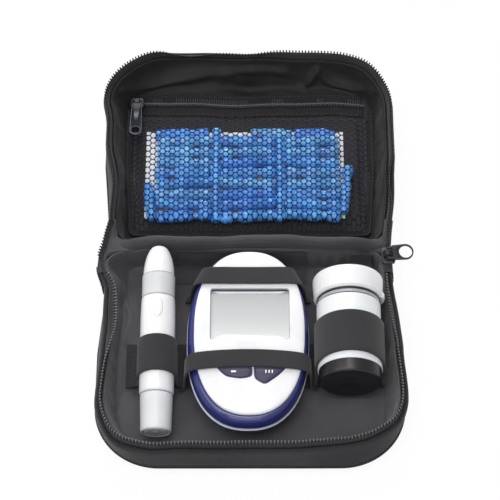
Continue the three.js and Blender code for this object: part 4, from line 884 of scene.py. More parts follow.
def make_net():
    """Knitted net: each cell is a rounded hole in a staggered grid of thin strands."""
    bar, x, y = CELL_BAR, CELL_X, CELL_Y / 2
    outer = np.array([(-bar, y), (0, y), (bar, y), (x / 2, y / 2), (x - bar, 0), (x / 2, -y / 2),
                      (bar, -y), (0, -y), (-bar, -y), (-x / 2, -y / 2), (bar - x, 0),
                      (-x / 2, y / 2)])
    angles = np.arctan2(outer[:, 1], outer[:, 0])
    inner = stacked((x * 0.76 - STRAND * 0.95) * np.cos(angles) * 0.82,
                    (y - STRAND / 2) * np.sin(angles))
    room = (np.linalg.norm(outer, axis=1) - STRAND / 2) / np.linalg.norm(inner, axis=1)
    inner *= np.minimum(1, room)[:, None]
    near, far = POCKET_NEAR + 2.6, POCKET_FAR + 0.6
    column, rank = np.meshgrid(np.arange(-26, 27), np.arange(24), indexing="ij")
    cells = stacked(column * x, near + 1 + rank * CELL_Y + column % 2 * y).reshape(-1, 2)
    at_x, at_v = cells.T
    inside = np.abs(at_x) <= tapered(POCKET_HALF - 0.6, at_v)
    cells = cells[inside & (at_v > near + 0.6) & (at_v < far - 0.6)]
    corners = (cells[:, None] + np.vstack([outer, inner])).reshape(-1, 2)
    # cells share the points that lie in the same place
    first, index = np.unique(corners.round(3), axis=0, return_index=True, return_inverse=True)[1:]
    rim, hole = np.split(index.reshape(len(cells), -1), 2, axis=1)
    faces = np.stack([rim, hole, np.roll(hole, -1, 1), np.roll(rim, -1, 1)], -1)
    x, v = corners[first].T
    v = np.clip(v, near, far)
    net = piece("pocket_net_mesh", stacked(x, v, net_height(x, v)),
                faces.reshape(-1, 4).tolist(), "net_yarn", "lid", "pocket_net")
    solid = net.modifiers.new("yarn", "SOLIDIFY")
    solid.thickness = NET_THICK / 1000
    solid.offset = 0


def make_pocket_cloth():
    v = np.linspace(POCKET_NEAR - 1, 92, 60)[:, None]
    rings = stacked(np.linspace(-1, 1, 70) * tapered(POCKET_HALF + 0.5, v), v, POCKET_BACK_Z)
    back = surface("pocket_back_cloth", rings, "pocket_cloth", "lid", closing=SHEET)
    inner = POCKET_HALF + 1.6
    corner = np.array([(-inner, POCKET_FAR + 4), (-inner, POCKET_NEAR + 2.4),
                       (-inner + 0.3, POCKET_NEAR + 1.7), (-inner + 1.0, POCKET_NEAR + 1.5)])
    x, v = spaced(np.vstack([corner, corner[::-1] * (-1, 1)]), 1.2)[0].T
    path = stacked(tapered(x, v), v, BINDING_Z + 0.12 * np.sin(x * 0.4 + v * 0.3))
    side = unit(np.cross(tangents(path), UP))
    band("pocket_binding_cloth", path, side, UP, BINDING_WIDE, BINDING_THICK, "pocket_tape",
         "lid", "pocket_binding")
    for shift, tag in ((-1.1, "inner"), (1.1, "outer")):
        seam = path + side * shift + (0, 0, 0.42)
        stitches(f"pocket_binding_stitches_{tag}", seam, UP, "lid", 1.5, 0.7, 0.26)


def coil_v(x):
    """The pocket zipper's gently waving line."""
    return COIL_V + 0.56 * np.sin((x + 56) * 0.085 + 0.4) + 0.28 * np.sin(x * 0.19)


def make_pocket_zip():
    xs = np.linspace(-POCKET_HALF + 0.6, POCKET_HALF - 0.6, 150)
    for tag, offset, shorter, width in (("lower", -3.6, 0.4, 5.6), ("upper", 3.6, 1.4, 5.2)):
        x = xs * (POCKET_HALF - shorter) / POCKET_HALF
        path = stacked(x, coil_v(xs) + offset, 3.35 + 0.12 * np.sin(x * 0.5))
        band(f"pocket_zip_cloth_{tag}", path - (0, 0, 0.1), ALONG, UP, width, 0.5, "pocket_tape",
             "lid", f"pocket_zip_tape_{tag}")
        seam = path + (0, offset * 0.45, 0.17)
        stitches(f"pocket_zip_stitches_{tag}", seam, UP, "lid", 1.6, 0.8, 0.26)
    # the woven ends that show as short upright dashes past the coil, in the places where they do
    dashes = [tube([(x + 0.1, coil_v(x) + out, 3.62) for out in COMB_REACH], 0.13, 6, ACROSS)
              for start, end in COMB_RUNS for x in np.arange(start, end, COMB_PITCH)]
    merged("pocket_zip_comb", dashes, "comb_thread", "lid")
    loops = int((xs[-1] - xs[0]) / COIL_PITCH)
    turn = np.linspace(0, loops * CIRCLE, loops * 9)
    x = np.linspace(xs[0], xs[-1], len(turn))
    helix = stacked(x, coil_v(x) + COIL_WIDE * np.sin(turn), COIL_Z + COIL_HIGH * np.cos(turn))
    merged("pocket_zip_coil_turns", [tube(helix, COIL_WIRE, 6)], "pocket_coil_nylon", "lid",
           "pocket_zip_coil")
    rib = tube(stacked(xs, coil_v(xs), COIL_Z + 0.35), 0.32)
    merged("pocket_zip_rib", [rib], "pocket_coil_nylon", "lid")


def make_card():
    x, v = np.meshgrid(np.linspace(*CARD_X, 40), np.linspace(*CARD_V, 24))
    curl = 0.35 * eased((np.abs(x + 2.5) - 38) / 9) ** 2
    top = stacked(x, v, CARD_TOP + curl)
    rings = np.concatenate([top, (top - (0, 0, CARD_THICK))[::-1]])
    surface("pocket_card_sheet", rings, "card_paper", "lid", "pocket_card", WRAP)


# A lancet along X: body, neck and round cap, as (place, half width, half height)
LANCET_STEPS = (
    (-13.0, 1.7, 1.4), (-12.8, 2.2, 1.9), (-12.2, 2.45, 2.15), (-9.2, 2.5, 2.2), (-9.0, 2.2, 2.0),
    (-8.3, 2.2, 2.0), (-8.1, 2.55, 2.25), (-1.0, 2.65, 2.3), (-0.7, 2.8, 2.5), (2.4, 2.8, 2.5),
    (2.8, 2.4, 2.2), (4.2, 1.95, 1.9), (6.8, 1.9, 1.85), (7.4, 2.3, 2.2), (8.0, 2.75, 2.6),
    (9.2, 2.88, 2.75), (11.4, 2.88, 2.75), (12.5, 2.5, 2.3), (13.0, 1.6, 1.5),
)
LOST_STEPS, CAP_START = 6, 7
# The other lancets of the heap: place along X, distance from the fold, turn in degrees, rolled
FILLING = (
    (-31.9, 33.2, 182, 0), (-0.9, 33.4, 2, 0), (29.9, 33.2, -1, 0), (45.6, 36.0, 84, 1),
    (-32.4, 45.3, 182, 0), (-0.9, 45.3, 3, 0), (29.9, 45.2, 179, 0), (-31.4, 57.0, -1, 0),
    (-1.2, 57.0, 183, 0), (29.8, 57.1, 1, 0), (-31.0, 21.4, 4, 0), (-1.0, 21.2, 183, 0),
    (29.6, 21.8, -3, 0), (-16.2, 31.4, 91, 1), (-16.3, 57.2, 269, 1), (14.4, 31.6, 268, 1),
    (14.2, 57.8, 91, 1), (-32.6, 67.3, 2, 0), (13.4, 67.4, 0, 0), (34.2, 67.3, -1, 0),
    (-47.6, 32.2, 97, 1),
)
USED = (16, 18, 19, 20)
BLUES = ("lancet_plastic", "lancet_light", "lancet_plastic", "lancet_deep", "lancet_light")


def lancet_shape(capped):
    """(points, faces) of one lancet; one that has been used has lost its cap."""
    turn = np.arange(16) / 16 * CIRCLE
    rings = []
    for at, half_wide, half_high in LANCET_STEPS if capped else LANCET_STEPS[:-LOST_STEPS]:
        squarer = 1 + 0.16 * (1.0 if at < CAP_START else 0.55) * np.sin(2 * turn) ** 2
        wide, high = half_wide * squarer, half_high * squarer
        rings.append(stacked(at, wide * np.cos(turn), high * np.sin(turn)))
    return formed(rings)


def make_lancets():
    """Twelve lancets lie where the CAD has them; the others fill the heap round them."""
    placed = []
    for c in range(3):
        for r in range(4):
            turn = (3 if (c + r) % 2 else -3) + 180 * ((c * 5 + r * 3) % 2)
            placed.append((-31.5 + 30.5 * c, 27.5 + 11.8 * r, 6.35, turn, 0))
    known = len(placed)
    for n, (x, v, turn, rolled) in enumerate(FILLING):
        placed.append((x, v, 6.2 + 0.12 * math.sin(n * 1.7), turn, rolled))
    for n, (x, v, z, turn, rolled) in enumerate(placed):
        angle, roll = math.radians(turn), 0.5 * math.sin(n * 2.3) + rolled * QUARTER
        c, s = math.cos(angle), math.sin(angle)
        x_axis = unit([[c, s, 0.02 * math.sin(n)]])
        y_axis = np.array([[-s * math.cos(roll), c * math.cos(roll), math.sin(roll)]])
        axes = (x_axis, y_axis, np.cross(x_axis, y_axis))
        part = copies(lancet_shape(n - known not in USED), np.array([[x, v, z]]), *axes)
        look = "lancet_plastic" if rolled else BLUES[(n * 7 + n // 5) % 5]
        if n < known:
            merged(f"lancet_{n + 1}_detail", [part], look, "lid", f"lancet_{n + 1}")
        else:
            merged(f"lancet_filling_{n + 1 - known}", [part], look, "lid")


make_net()
make_pocket_cloth()
make_pocket_zip()
make_card()
make_lancets()

# ---------------------------------------------------------------- meter

METER_X, METER_V = -0.9, 48.8
METER_A, METER_B, METER_POWER = 27.35, 43.4, 2.35
# The face sits a little towards the far right of the frame
FACE_SHIFT = np.array((0.6, 1.4))
FACE_INSET, FACE_EDGE, FACE_TOP, FACE_CROWN = 2.6, 20.9, 22.3, 0.5
WINDOW = (METER_X - 17.1, METER_X + 18.8, -52.5, -25.7)
METER_SIDES = 144
# Rings of the meter's shells: inset from its outline, height
METER_SHELLS = {
    "meter_base_shell": ("meter_navy", "meter_base", (
        (9, 3.95), (7, 3.9), (3.6, 4.6), (1.4, 6.2), (0.5, 8.4), (0.15, 12.3), (4, 12.3))),
    "meter_trim_line": ("trim_plastic", "meter_trim", (
        (4, 12.45), (-0.1, 12.5), (-0.25, 12.8), (-0.1, 13.1), (4, 13.15))),
    "meter_frame_rim": ("meter_navy", "meter_frame", (
        (4, 13.25), (0.25, 13.25), (0.1, 14.2), (0.2, 16.2), (0.6, 18.2), (1.2, 19.5),
        (1.8, 20.25), (2.25, 20.35), (2.45, 20.0), (2.7, 19.5), (4.3, 19.3), (9, 19.2))),
}
# How far the face's skin has gone from its edge to the window, and the window's rim below it
FACE_SHARES = np.r_[0, 0.015, 0.04, 0.08, np.linspace(0.14, 0.96, 15), 0.985, 0.995, 1]
WINDOW_RIM = ((0.12, 0.1), (0.2, 0.35), (0.25, 1.9))
SCREEN_STEPS = ((1.0, 19.5), (1.0, 20.55), (0.985, 20.62), (0.5, 20.62), (0.02, 20.62))


def meter_ring(inset, height):
    turn = np.arange(METER_SIDES) / METER_SIDES * CIRCLE
    x, y = ((reach - inset) * np.sign(wave) * np.abs(wave) ** (2 / METER_POWER)
            for reach, wave in ((METER_A, np.cos(turn)), (METER_B, np.sin(turn))))
    shift = FACE_SHIFT * min(max(inset / FACE_INSET, 0), 1)
    return stacked(METER_X + x + shift[0], -METER_V + y + shift[1], height)


def meter_shell(name, look, node, steps):
    fine = []
    for start, end in zip(steps[:-1], steps[1:]):
        count = max(int(math.dist(start, end) / 0.5), 2)
        fine.extend(line(start, end, count)[:-1])
    soft = softened(np.array(fine + [steps[-1]]), 3)
    surface(name, [meter_ring(*step) for step in soft], look, "meter", node)


def face_height(x, y):
    """The white face: slightly crowned, rounded over at its edge."""
    x, y = x - METER_X - FACE_SHIFT[0], y + METER_V - FACE_SHIFT[1]
    share = (np.abs(x / (METER_A - FACE_INSET)) ** METER_POWER
             + np.abs(y / (METER_B - FACE_INSET)) ** METER_POWER) ** (1 / METER_POWER)
    edge = np.clip((share - 0.9) / 0.1, 0, 1)
    turned_down = (FACE_TOP - FACE_CROWN - FACE_EDGE) * (1 - np.sqrt(np.maximum(1 - edge ** 2, 0)))
    return FACE_TOP - FACE_CROWN * np.clip(share, 0, 1) ** 2 - turned_down


def window_outline(inset, radius):
    """Points round the inset window, one for each direction from its middle."""
    x0, x1, y0, y1 = WINDOW
    hx, hy = (x1 - x0) / 2 - inset - radius, (y1 - y0) / 2 - inset - radius
    loop = rounded([(hx, hy), (-hx, hy), (-hx, -hy), (hx, -hy)], radius, 10)
    dense = evenly(np.vstack([loop, loop[:1]]), 4000)
    angles = np.unwrap(np.arctan2(dense[:, 1], dense[:, 0]))
    wanted = np.arange(METER_SIDES) / METER_SIDES * CIRCLE
    wanted = np.where(wanted < angles[0], wanted + CIRCLE, wanted)
    return looked_up(wanted, angles, dense) + ((x0 + x1) / 2, (y0 + y1) / 2)


def make_meter():
    for name, shell in METER_SHELLS.items():
        meter_shell(name, *shell)
    hole = window_outline(0, 1.3)
    outer = meter_ring(FACE_INSET, 0)[:, :2]
    # both loops are walked by direction from the window's middle, so the skin does not twist
    x, y = (outer - ((WINDOW[0] + WINDOW[1]) / 2, (WINDOW[2] + WINDOW[3]) / 2)).T
    angles = np.unwrap(np.arctan2(y, x))
    wanted = np.arange(METER_SIDES) / METER_SIDES * CIRCLE
    extended = np.r_[angles - CIRCLE, angles, angles + CIRCLE]
    outer = looked_up(wanted, extended, np.tile(outer, (3, 1)))
    rings = [stacked(*outer.T, 19.9)]
    for share in FACE_SHARES:
        x, y = (outer + (hole - outer) * share).T
        rings.append(stacked(x, y, face_height(x, y)))
    for inset, drop in WINDOW_RIM:
        rings.append(stacked(*window_outline(inset, 1.2).T, face_height(*hole.T) - drop))
    surface("meter_face_plate", rings, "face_plastic", "meter", "meter_face", SLEEVE)
    plan = window_outline(0.3, 1.1)
    screen = [stacked(*scaled(plan, plan.mean(0), s).T, z) for s, z in SCREEN_STEPS]
    surface("meter_screen_glass", screen, "screen_look", "meter", "meter_screen meter_lens")
    # a thin dark bar along the window's far edge stands in for the shadow there: painted shade
    far_edge_shadow = stacked(np.linspace(WINDOW[0] + 0.9, WINDOW[1] - 0.9, 8), WINDOW[3] - 0.75, 20.7)
    merged("meter_screen_bar", [tube(far_edge_shadow, 0.32)], "button_rubber", "meter")


# Each button's outline, straight towards the screen and curved to the case's lower edge, and
# its generic mark: where its bars stand, half a bar's way, its radius
BUTTONS = {
    "button_left": (
        [(-15.4, -62.2), (0.4, -62.2), (0.9, -70.2), (-4.2, -71.3), (-10.4, -70.2), (-14.2, -66.5)],
        (-7.2,), (1.1, 0), 0.45),
    "button_right": (
        [(1.7, -62.2), (16.6, -62.2), (15.4, -66.6), (12.2, -69.8), (6.6, -74.1), (2.2, -71.4)],
        (7.0, 8.4, 9.8), (0, 0.75), 0.28),
}
BUTTON_STEPS = ((1.0, -1.2), (1.0, 0.05), (0.975, 0.3), (0.92, 0.42), (0.6, 0.5), (0.25, 0.52),
                (0.02, 0.52))
BUTTON_HIGH, BUTTON_PROUD, MARK_Y = 0.52, 0.35, -68.4


def proud(y):
    """How far the buttons' lower part stands out further than their hidden upper part."""
    return BUTTON_PROUD * eased((-y - 66.6) / 1.2)


def make_buttons():
    marks = []
    for body, (corners, spots, way, radius) in BUTTONS.items():
        plan = walked(np.array(corners), 60)
        for _ in range(4):
            plan = (np.roll(plan, 1, 0) + 2 * plan + np.roll(plan, -1, 0)) / 4
        centre = plan.mean(0)
        rings = []
        for scale, lift in BUTTON_STEPS:
            x, y = scaled(plan, centre, scale).T
            share = max(lift, 0) / BUTTON_HIGH
            rings.append(stacked(x, y, face_height(x, y) + lift + proud(y) * share))
        surface(f"{body}_cap", rings, "button_rubber", body, "meter_" + body)
        x, y = scaled(plan, centre, 1.03).T
        groove = tube(stacked(x, y, face_height(x, y) - 0.05), 0.2, 6, closed=True)
        merged(f"{body}_groove", [groove], "meter_navy", "meter")
        parts = []
        for spot in spots:
            bar = np.outer((-1, -0.5, 0.5, 1), way) + (spot, MARK_Y)
            x, y = bar.T
            z = face_height(x, y) + BUTTON_HIGH + proud(y)
            points, faces = tube(stacked(x, y, z), radius)
            points[:, 2] = z.mean() + (points[:, 2] - z.mean()) * 0.17 + 0.02
            parts.append((points, faces))
        marks.append((f"{body}_mark", parts, "mark_white", body))
    for mark in marks:
        merged(*mark)


def make_screen_look():
    """Blank display: a pale grey panel with painted shade, darkest under the window's far rim and
    lighter towards its near edge.
    """
    tree, place = new_look(
        "screen_look", "screen_grey", Roughness=0.16, Coat_Weight=1.0, Coat_Roughness=0.05)
    y = add_node(tree, "SeparateXYZ", {0: place["Object"]}).outputs[1]
    far, near = (FOLD_Y + WINDOW[3]) / 1000, (FOLD_Y + WINDOW[2]) / 1000
    fine = maths(tree, "SUBTRACT", noise_node(tree, place, 900.0, 2.0), 0.5)
    tone = maths(tree, "MULTIPLY_ADD", fine, 0.03, remap(tree, y, far, near, 0.0, 1.0))
    # painted shade: the ramp runs from dark at the window's far edge to light at its near edge
    stops = ((0.0, "#77787c"), (0.07, "#85868a"), (0.12, "#a9abad"), (0.6, "#b9bbbc"),
             (1.0, "#cfd1d0"))
    colour = ramp(tree, tone, [(at, linear(code)) for at, code in stops])
    feed(tree, tree.nodes["Principled BSDF"], {"Base Color": colour})


# ---------------------------------------------------------------- pen and vial


def lathe(name, profile, centre, axis, look, body, node="", sides=72):
    """A turned piece: profile is (along axis, radius) steps from one end to the other."""
    side = unit(np.cross(axis, UP))
    at, radius = np.array(profile)[:, :, None, None].swapaxes(0, 1)
    ring = disc(1, 1, sides)
    round_axis = ring[:, :1] * side + ring[:, 1:] * np.cross(side, axis)
    surface(name, centre + at * axis + radius * round_axis, look, body, node)


PEN_X, PEN_REAR_V, PEN_REAR_Z = -41.45, 92.3, 10.6
PEN_TILT = math.radians(6.5)
PEN_AXIS = np.array([0.0, math.cos(PEN_TILT), math.sin(PEN_TILT)])
PEN_TOP = np.array([0.0, -math.sin(PEN_TILT), math.cos(PEN_TILT)])
PEN_REAR = np.array([PEN_X, -PEN_REAR_V, PEN_REAR_Z])
GROOVES = [step for k in range(13) for step in (
    (64.3 + k * 0.75, 7.38), (64.55 + k * 0.75, 7.46), (64.8 + k * 0.75, 7.46))]
TIP_CURVE = [(74.7 + 13.6 * s, 3.0 + 4.0 * (1 - s ** 1.95) ** 0.7)
             for s in np.linspace(0.05, 0.97, 16)]
# Name, look, body, node and (along the pen, radius) steps
PEN_PARTS = (
    ("pen_rear_sleeve", "pen_pale", "pen_cocking", "pen_sleeve", [
        (0.9, 4.9), (0.9, 5.6), (0.1, 6.0), (0.05, 6.4), (0.3, 6.75), (1.2, 6.92), (5, 7.0),
        (12, 7.2), (16.6, 7.35), (17.2, 7.2), (17.3, 6.9), (17.3, 3)]),
    ("pen_rear_disc", "pen_grey", "pen_cocking", "pen_end_plug", [
        (1.4, 5.0), (0.6, 5.15), (0.25, 4.9), (0.15, 4.3), (0.3, 3.2), (0.42, 1.6), (0.3, 1.15),
        (0.1, 0.8), (0.05, 0.1)]),
    ("pen_body", "pen_white", "pen", "pen_barrel", [
        (17.75, 3), (17.75, 7.3), (18.0, 7.6), (18.6, 7.75), (30, 7.85), (44, 7.9), (54, 7.85),
        (60, 7.7), (62.6, 7.55), (63.1, 7.4), (63.2, 7.1), (63.2, 3)]),
    ("pen_depth_collar", "pen_grey", "pen_ring", "pen_depth_ring", [
        (63.6, 3), (63.6, 7.1), (63.8, 7.36), *GROOVES, (73.9, 7.3), (74.0, 7.0), (74.0, 3)]),
    ("pen_front_cap", "pen_white", "pen", "pen_tip", [
        (74.4, 3), (74.4, 6.85), (74.7, 7.0), *TIP_CURVE, (88.35, 2.9), (88.6, 2.4),
        (88.6, 1.4), (88.2, 1.15), (83, 1.05), (83, 0.05)]),
)
# The release button, a raised oval pad on the barrel's top: share of its size, height
PAD_AT, PAD_LONG, PAD_WIDE = 56.9, 5.2, 2.5
PAD_STEPS = ((1.0, -0.6), (0.99, -0.05), (0.96, 0.14), (0.88, 0.3), (0.7, 0.4), (0.4, 0.44),
             (0.02, 0.45))


def make_pen():
    for name, look, body, node, profile in PEN_PARTS:
        lathe(name, profile, PEN_REAR, PEN_AXIS, look, body, node)
    turn = np.arange(40) / 40 * CIRCLE
    c, s = np.cos(turn), np.sin(turn)
    rings = []
    for scale, lift in PAD_STEPS:
        at = PAD_AT + PAD_LONG * scale * np.sign(c) * np.abs(c) ** 0.8
        side = PAD_WIDE * scale * s
        radius = np.interp(at, [44, 54, 60, 63], [7.9, 7.85, 7.7, 7.5])
        top = np.sqrt(radius ** 2 - side ** 2) + lift
        rings.append(PEN_REAR + stacked(side, 0, 0) + at[:, None] * PEN_AXIS
                     + top[:, None] * PEN_TOP)
    surface("pen_button_pad", rings, "pen_white", "pen_release", "pen_release_button")


VIAL_X, VIAL_Z = 44.35, 18.8
SEAM_ANGLE, SEAM_RADIUS = math.radians(33), 14.5
# Name, look, body, node and (distance from the fold, radius) steps
VIAL_PARTS = (
    ("vial_tube", "vial_black", "vial", "vial_body", [
        (31.4, 12.6), (31.35, 13.6), (31.6, 13.9), (32.3, 14.0), (34, 14.0), (66.8, 14.0),
        (67.2, 13.9), (71.0, 13.9), (71.9, 13.6), (72.25, 13.0), (72.3, 12.2), (71.9, 11.6),
        (71.7, 8), (71.75, 3.5), (71.4, 3.1), (71.4, 0.1)]),
    # a black ring just under the cap stands in for the cap's shadow: painted shadow
    ("vial_cap_shadow_ring", "vial_black", "vial", "", [
        (31.1, 13.95), (31.15, 14.3), (31.95, 14.3), (32.0, 13.95)]),
    ("vial_neck_band", "neck_clear", "vial", "", [
        (32.05, 13.95), (32.1, 14.2), (33.55, 14.2), (33.6, 13.95)]),
    ("vial_label_wrap", "vial_label", "vial", "vial_label", [
        (34.1, 14.05), (34.15, 14.35), (34.3, 14.42), (66.2, 14.42), (66.4, 14.35),
        (66.45, 14.05)]),
)
VIAL_CAP_STEPS = [
    (20.0, 0.1), (20.0, 12.5), (20.12, 14.6), (20.5, 15.5), (21.2, 15.95), (22.4, 16.0),
    (27.6, 15.7), (29.6, 15.35), (30.5, 15.1), (30.85, 14.8), (30.9, 14.3), (30.9, 12),
]
LIP_RADIUS, LIP_V, LIP_WIRE = 15.25, 29.9, 0.42
# The cap's thumb tab, an arc-shaped lug on its right: half its angle, its two radii; then
# distance from the fold, how far it grows
TAB_TURN, TAB_INNER, TAB_OUTER = 0.24, 14.6, 15.6
TAB_STEPS = ((30.9, 0.05), (30.7, 0.5), (30.0, 0.85), (28.8, 0.8), (27.8, 0.2), (27.6, -0.3))


def round_vial(radius, turn, y):
    """Points round the vial's axis at these angles."""
    return stacked(VIAL_X + radius * np.cos(turn), y, VIAL_Z + radius * np.sin(turn))


def vial_part(name, look, body, node, profile):
    lathe(name, profile, (VIAL_X, 0, VIAL_Z), np.array([0, -1, 0]), look, body, node, 96)


def make_vial():
    for part in VIAL_PARTS:
        vial_part(*part)
    seam = round_vial(SEAM_RADIUS, SEAM_ANGLE, np.linspace(-34.6, -66.0, 20))
    merged("vial_label_seam", [tube(seam, 0.12, 6)], "pen_grey", "vial")
    vial_part("vial_cap_shell", "cap_white", "cap", "vial_cap", VIAL_CAP_STEPS)
    lip = round_vial(LIP_RADIUS, np.linspace(0, CIRCLE, 96, endpoint=False), -LIP_V)
    merged("vial_cap_lip", [tube(lip, LIP_WIRE, up=ALONG, closed=True)], "cap_white", "cap")
    turn = np.linspace(-TAB_TURN, TAB_TURN, 16)
    rings = []
    for at, grow in TAB_STEPS:
        outer = TAB_OUTER + grow * eased((0.26 - np.abs(turn)) / 0.1)
        ring = (round_vial(outer, turn, -at), round_vial(TAB_INNER, turn[::-1], -at))
        rings.append(np.vstack(ring))
    surface("vial_cap_tab", rings, "cap_white", "cap")


make_screen_look()
make_meter()
make_buttons()
make_pen()
make_vial()

# ---------------------------------------------------------------- elastic, straps and back panel

BAND_V, BAND_WIDE, FOOT_Z = 56.0, 22.0, 4.45
BASE_FROM, BASE_TO, BASE_Z, BASE_THICK = -56, 60, 3.22, 0.8
PEN_LOOP_RADIUS, PEN_LOOP_WIDE, PEN_LOOP_THICK = 8.6, 17.0, 0.9
VIAL_LOOP_RADIUS, VIAL_LOOP_THICK, VIAL_LOOP_BOW = 15.25, 1.1, 3.6
STRAP_WIDE, STRAP_THICK = 8.6, 0.85
# The left half of a strap over the meter, from its foot: out from the meter's side, height
STRAP_RISE = np.array([(2.6, 3.35), (0.5, 3.4), (0.1, 4.6), (0, 9), (-0.3, 14), (-0.8, 18.4),
                       (-1.6, 21.1), (-3.8, 22.7), (-8, 23.1)])
# The panel behind the meter, down the back wall and onto the floor: distance, height
PANEL_STEPS = [(4.5, 16.6), (4.25, 15.4), (4.2, 12), (4.4, 8), (5.0, 5.0), (6.2, 3.5),
               (8.5, 3.1), (13.2, 3.05)]


def arch(centre_x, centre_z, radius, foot_left, foot_right, steps=44):
    """Way of a loop from its left foot over a round body to its right foot."""
    over = arc(centre_x, centre_z, radius, 180 * 1.12, -180 * 0.12, steps - 1)
    over = over[over[:, 1] > FOOT_Z + 1.5]
    start, end = over[0, 0], over[-1, 0]
    left = [(foot_left, FOOT_Z), (start - 1.4, FOOT_Z), (start - 0.5, FOOT_Z + 0.4)]
    right = [(end + 0.5, FOOT_Z + 0.4), (end + 1.4, FOOT_Z), (foot_right, FOOT_Z)]
    return softened(evenly(np.vstack([left, over, right]), 90), 4)


def strap_rings(plan, v, width, thick, bow=0, tilt=0.0):
    """A strap's rings: plan is its way in X and Z, width lies along Y."""
    x, z = plan.T
    up = -unit(np.cross(tangents(stacked(x, 0, z)), ALONG))
    rings = swept(stacked(x, bow - v, z), ALONG, up, rounded_band(width, thick))
    rings[..., 2] += (rings[..., 1] + v) * tilt * eased((rings[..., 2] - 6) / 8)
    return rings


def make_elastics():
    x = np.linspace(BASE_FROM, BASE_TO, 80)
    plan = stacked(x, BASE_Z + 0.08 * np.sin(x * 0.5))
    rings = strap_rings(plan, BAND_V, BAND_WIDE, BASE_THICK)
    base = surface("elastic_base_band", rings, "elastic_cloth", "tray", "elastic_band_base")
    for at, tag in ((-54.6, "left"), (58.6, "right"), (-28.2, "middle_left"),
                    (27.4, "middle_right")):
        path = stacked(at, np.linspace(-BAND_V - 9.5, -BAND_V + 9.5, 12), 3.72)
        stitches(f"elastic_stitches_{tag}", path, UP, "tray")
    slope = math.tan(PEN_TILT)
    mid_z = PEN_REAR_Z + (PEN_REAR_V - BAND_V) * slope
    plan = arch(PEN_X, mid_z, PEN_LOOP_RADIUS, PEN_X - 12.2, PEN_X + 11.4)
    rings = strap_rings(plan, BAND_V + 2.6, PEN_LOOP_WIDE, PEN_LOOP_THICK, tilt=slope)
    loop = surface("elastic_pen_band", rings, "elastic_cloth", "tray", "elastic_loop_pen")
    plan = arch(VIAL_X, VIAL_Z, VIAL_LOOP_RADIUS, 28.0, 60.4, 60)
    bow = VIAL_LOOP_BOW * np.sin(np.linspace(0, 1, len(plan)) * np.pi) ** 1.5
    rings = strap_rings(plan, BAND_V, BAND_WIDE, VIAL_LOOP_THICK, bow)
    # the far edge bows less, which leaves the cap room when the vial slides out
    bow = bow[:, None]
    rings[..., 1] -= bow * 0.25 * (1 + (rings[..., 1] - bow + BAND_V) * 2 / BAND_WIDE)
    loop = surface("elastic_vial_band", rings, "elastic_cloth", "tray", "elastic_loop_vial")


def make_strap(name, node, v, half, bow, narrowing=0.0):
    """A narrow strap over the meter, from the floor on one side to the floor on the other."""
    left = STRAP_RISE * (-1, 1) - (half, 0)
    corners = np.vstack([left, [(-6, 23.15), (6, 23.15)], (left * (-1, 1))[::-1]])
    plan = softened(evenly(corners, 110) + (METER_X, 0), 4)
    share = (plan[:, 0] - METER_X) / half
    rings = strap_rings(plan, v, STRAP_WIDE, STRAP_THICK, bow * (1 - share ** 2))
    narrower = 1 - narrowing * (rings[..., 1] + v)
    rings[..., 0] = METER_X + (rings[..., 0] - METER_X) * narrower
    surface(name, rings, "elastic_cloth", "tray", node)


def make_panel():
    x = np.linspace(-33.95, 25.95, 72)
    v, z = between(PANEL_STEPS, 36).T[..., None]
    wave = 0.25 * np.sin(x * 0.21) * eased((z - 4) / 8)
    rings = stacked(x, -v - wave - 0.2, z)
    panel = surface("meter_back_cloth", rings, "panel_cloth", "tray", "meter_back_panel", SHEET)
    for shift, tag in ((0.9, 9), (2.2, 22)):
        path = rings[2:-8, -1] + (-shift, -0.1, 0.1)
        stitches(f"meter_back_stitches_{tag}", path, (0, -0.7, 0.7), "tray", 1.2, 0.6, 0.28)


make_elastics()
make_strap("meter_band_upper", "meter_strap_upper", 19.7, 24.0, -0.4, 0.021)
make_strap("meter_band_lower", "meter_strap_lower", 64.0, 28.35, 2.2)
make_panel()

# ---------------------------------------------------------------- sliders and pulls

MAIN_SLIDER = (62.75, -8.0, 22.3)
SLIDER_TURN = math.degrees(math.atan2(66.3 * TAPER, TAPER_END))
POCKET_SLIDER = np.array((-55.0, 86.0, 7.5))
POCKET_PULL_LIFT = 12.0
# A slider's roof: share of its plan, height over its underside
ROOF_STEPS = ((0.2, 0), (0.93, 0), (1, 0.15), (1, 0.75), (0.94, 0.95), (0.6, 1.0), (0.03, 1.0))


def pull_plate(outer, centre, hole_half, thick, rim=0.0, recess=0.0):
    """(points, faces) of a flat pull with a hole; rim and recess give it a raised border."""
    outer, centre = walked(outer, 132), np.array(centre)
    way = unit(np.roll(outer, -1, 0) - np.roll(outer, 1, 0))
    inward = stacked(-way[:, 1], way[:, 0])
    ray = unit(outer - centre)
    hole = centre + ray * hole_half
    top = thick / 2
    steps = [(outer + inward * 0.16, -top), (outer, 0.18 - top), (outer, top - 0.18),
             (outer + inward * 0.12, top)]
    if recess:
        floor = top - recess
        steps += [(outer + inward * rim, top), (outer + inward * (rim + 0.12), floor),
                  (hole + ray * 0.36, floor), (hole + ray * 0.28, top - 0.05)]
    steps += [(hole + ray * 0.1, top - 0.05), (hole, top - 0.22), (hole, 0.18 - top),
              (hole + ray * 0.14, -top)]
    return formed([stacked(*plan.T, z) for plan, z in steps], HOOP)


def turned(parts, axis, degrees, origin):
    """The parts turned about X or Z through the origin and moved to their place."""
    c, s = math.cos(math.radians(degrees)), math.sin(math.radians(degrees))
    about_x, about_z = [(1, 0, 0), (0, c, -s), (0, s, c)], [(c, -s, 0), (s, c, 0), (0, 0, 1)]
    matrix = np.array(about_x if axis == "x" else about_z)
    return [(points @ matrix.T + origin, faces) for points, faces in parts]


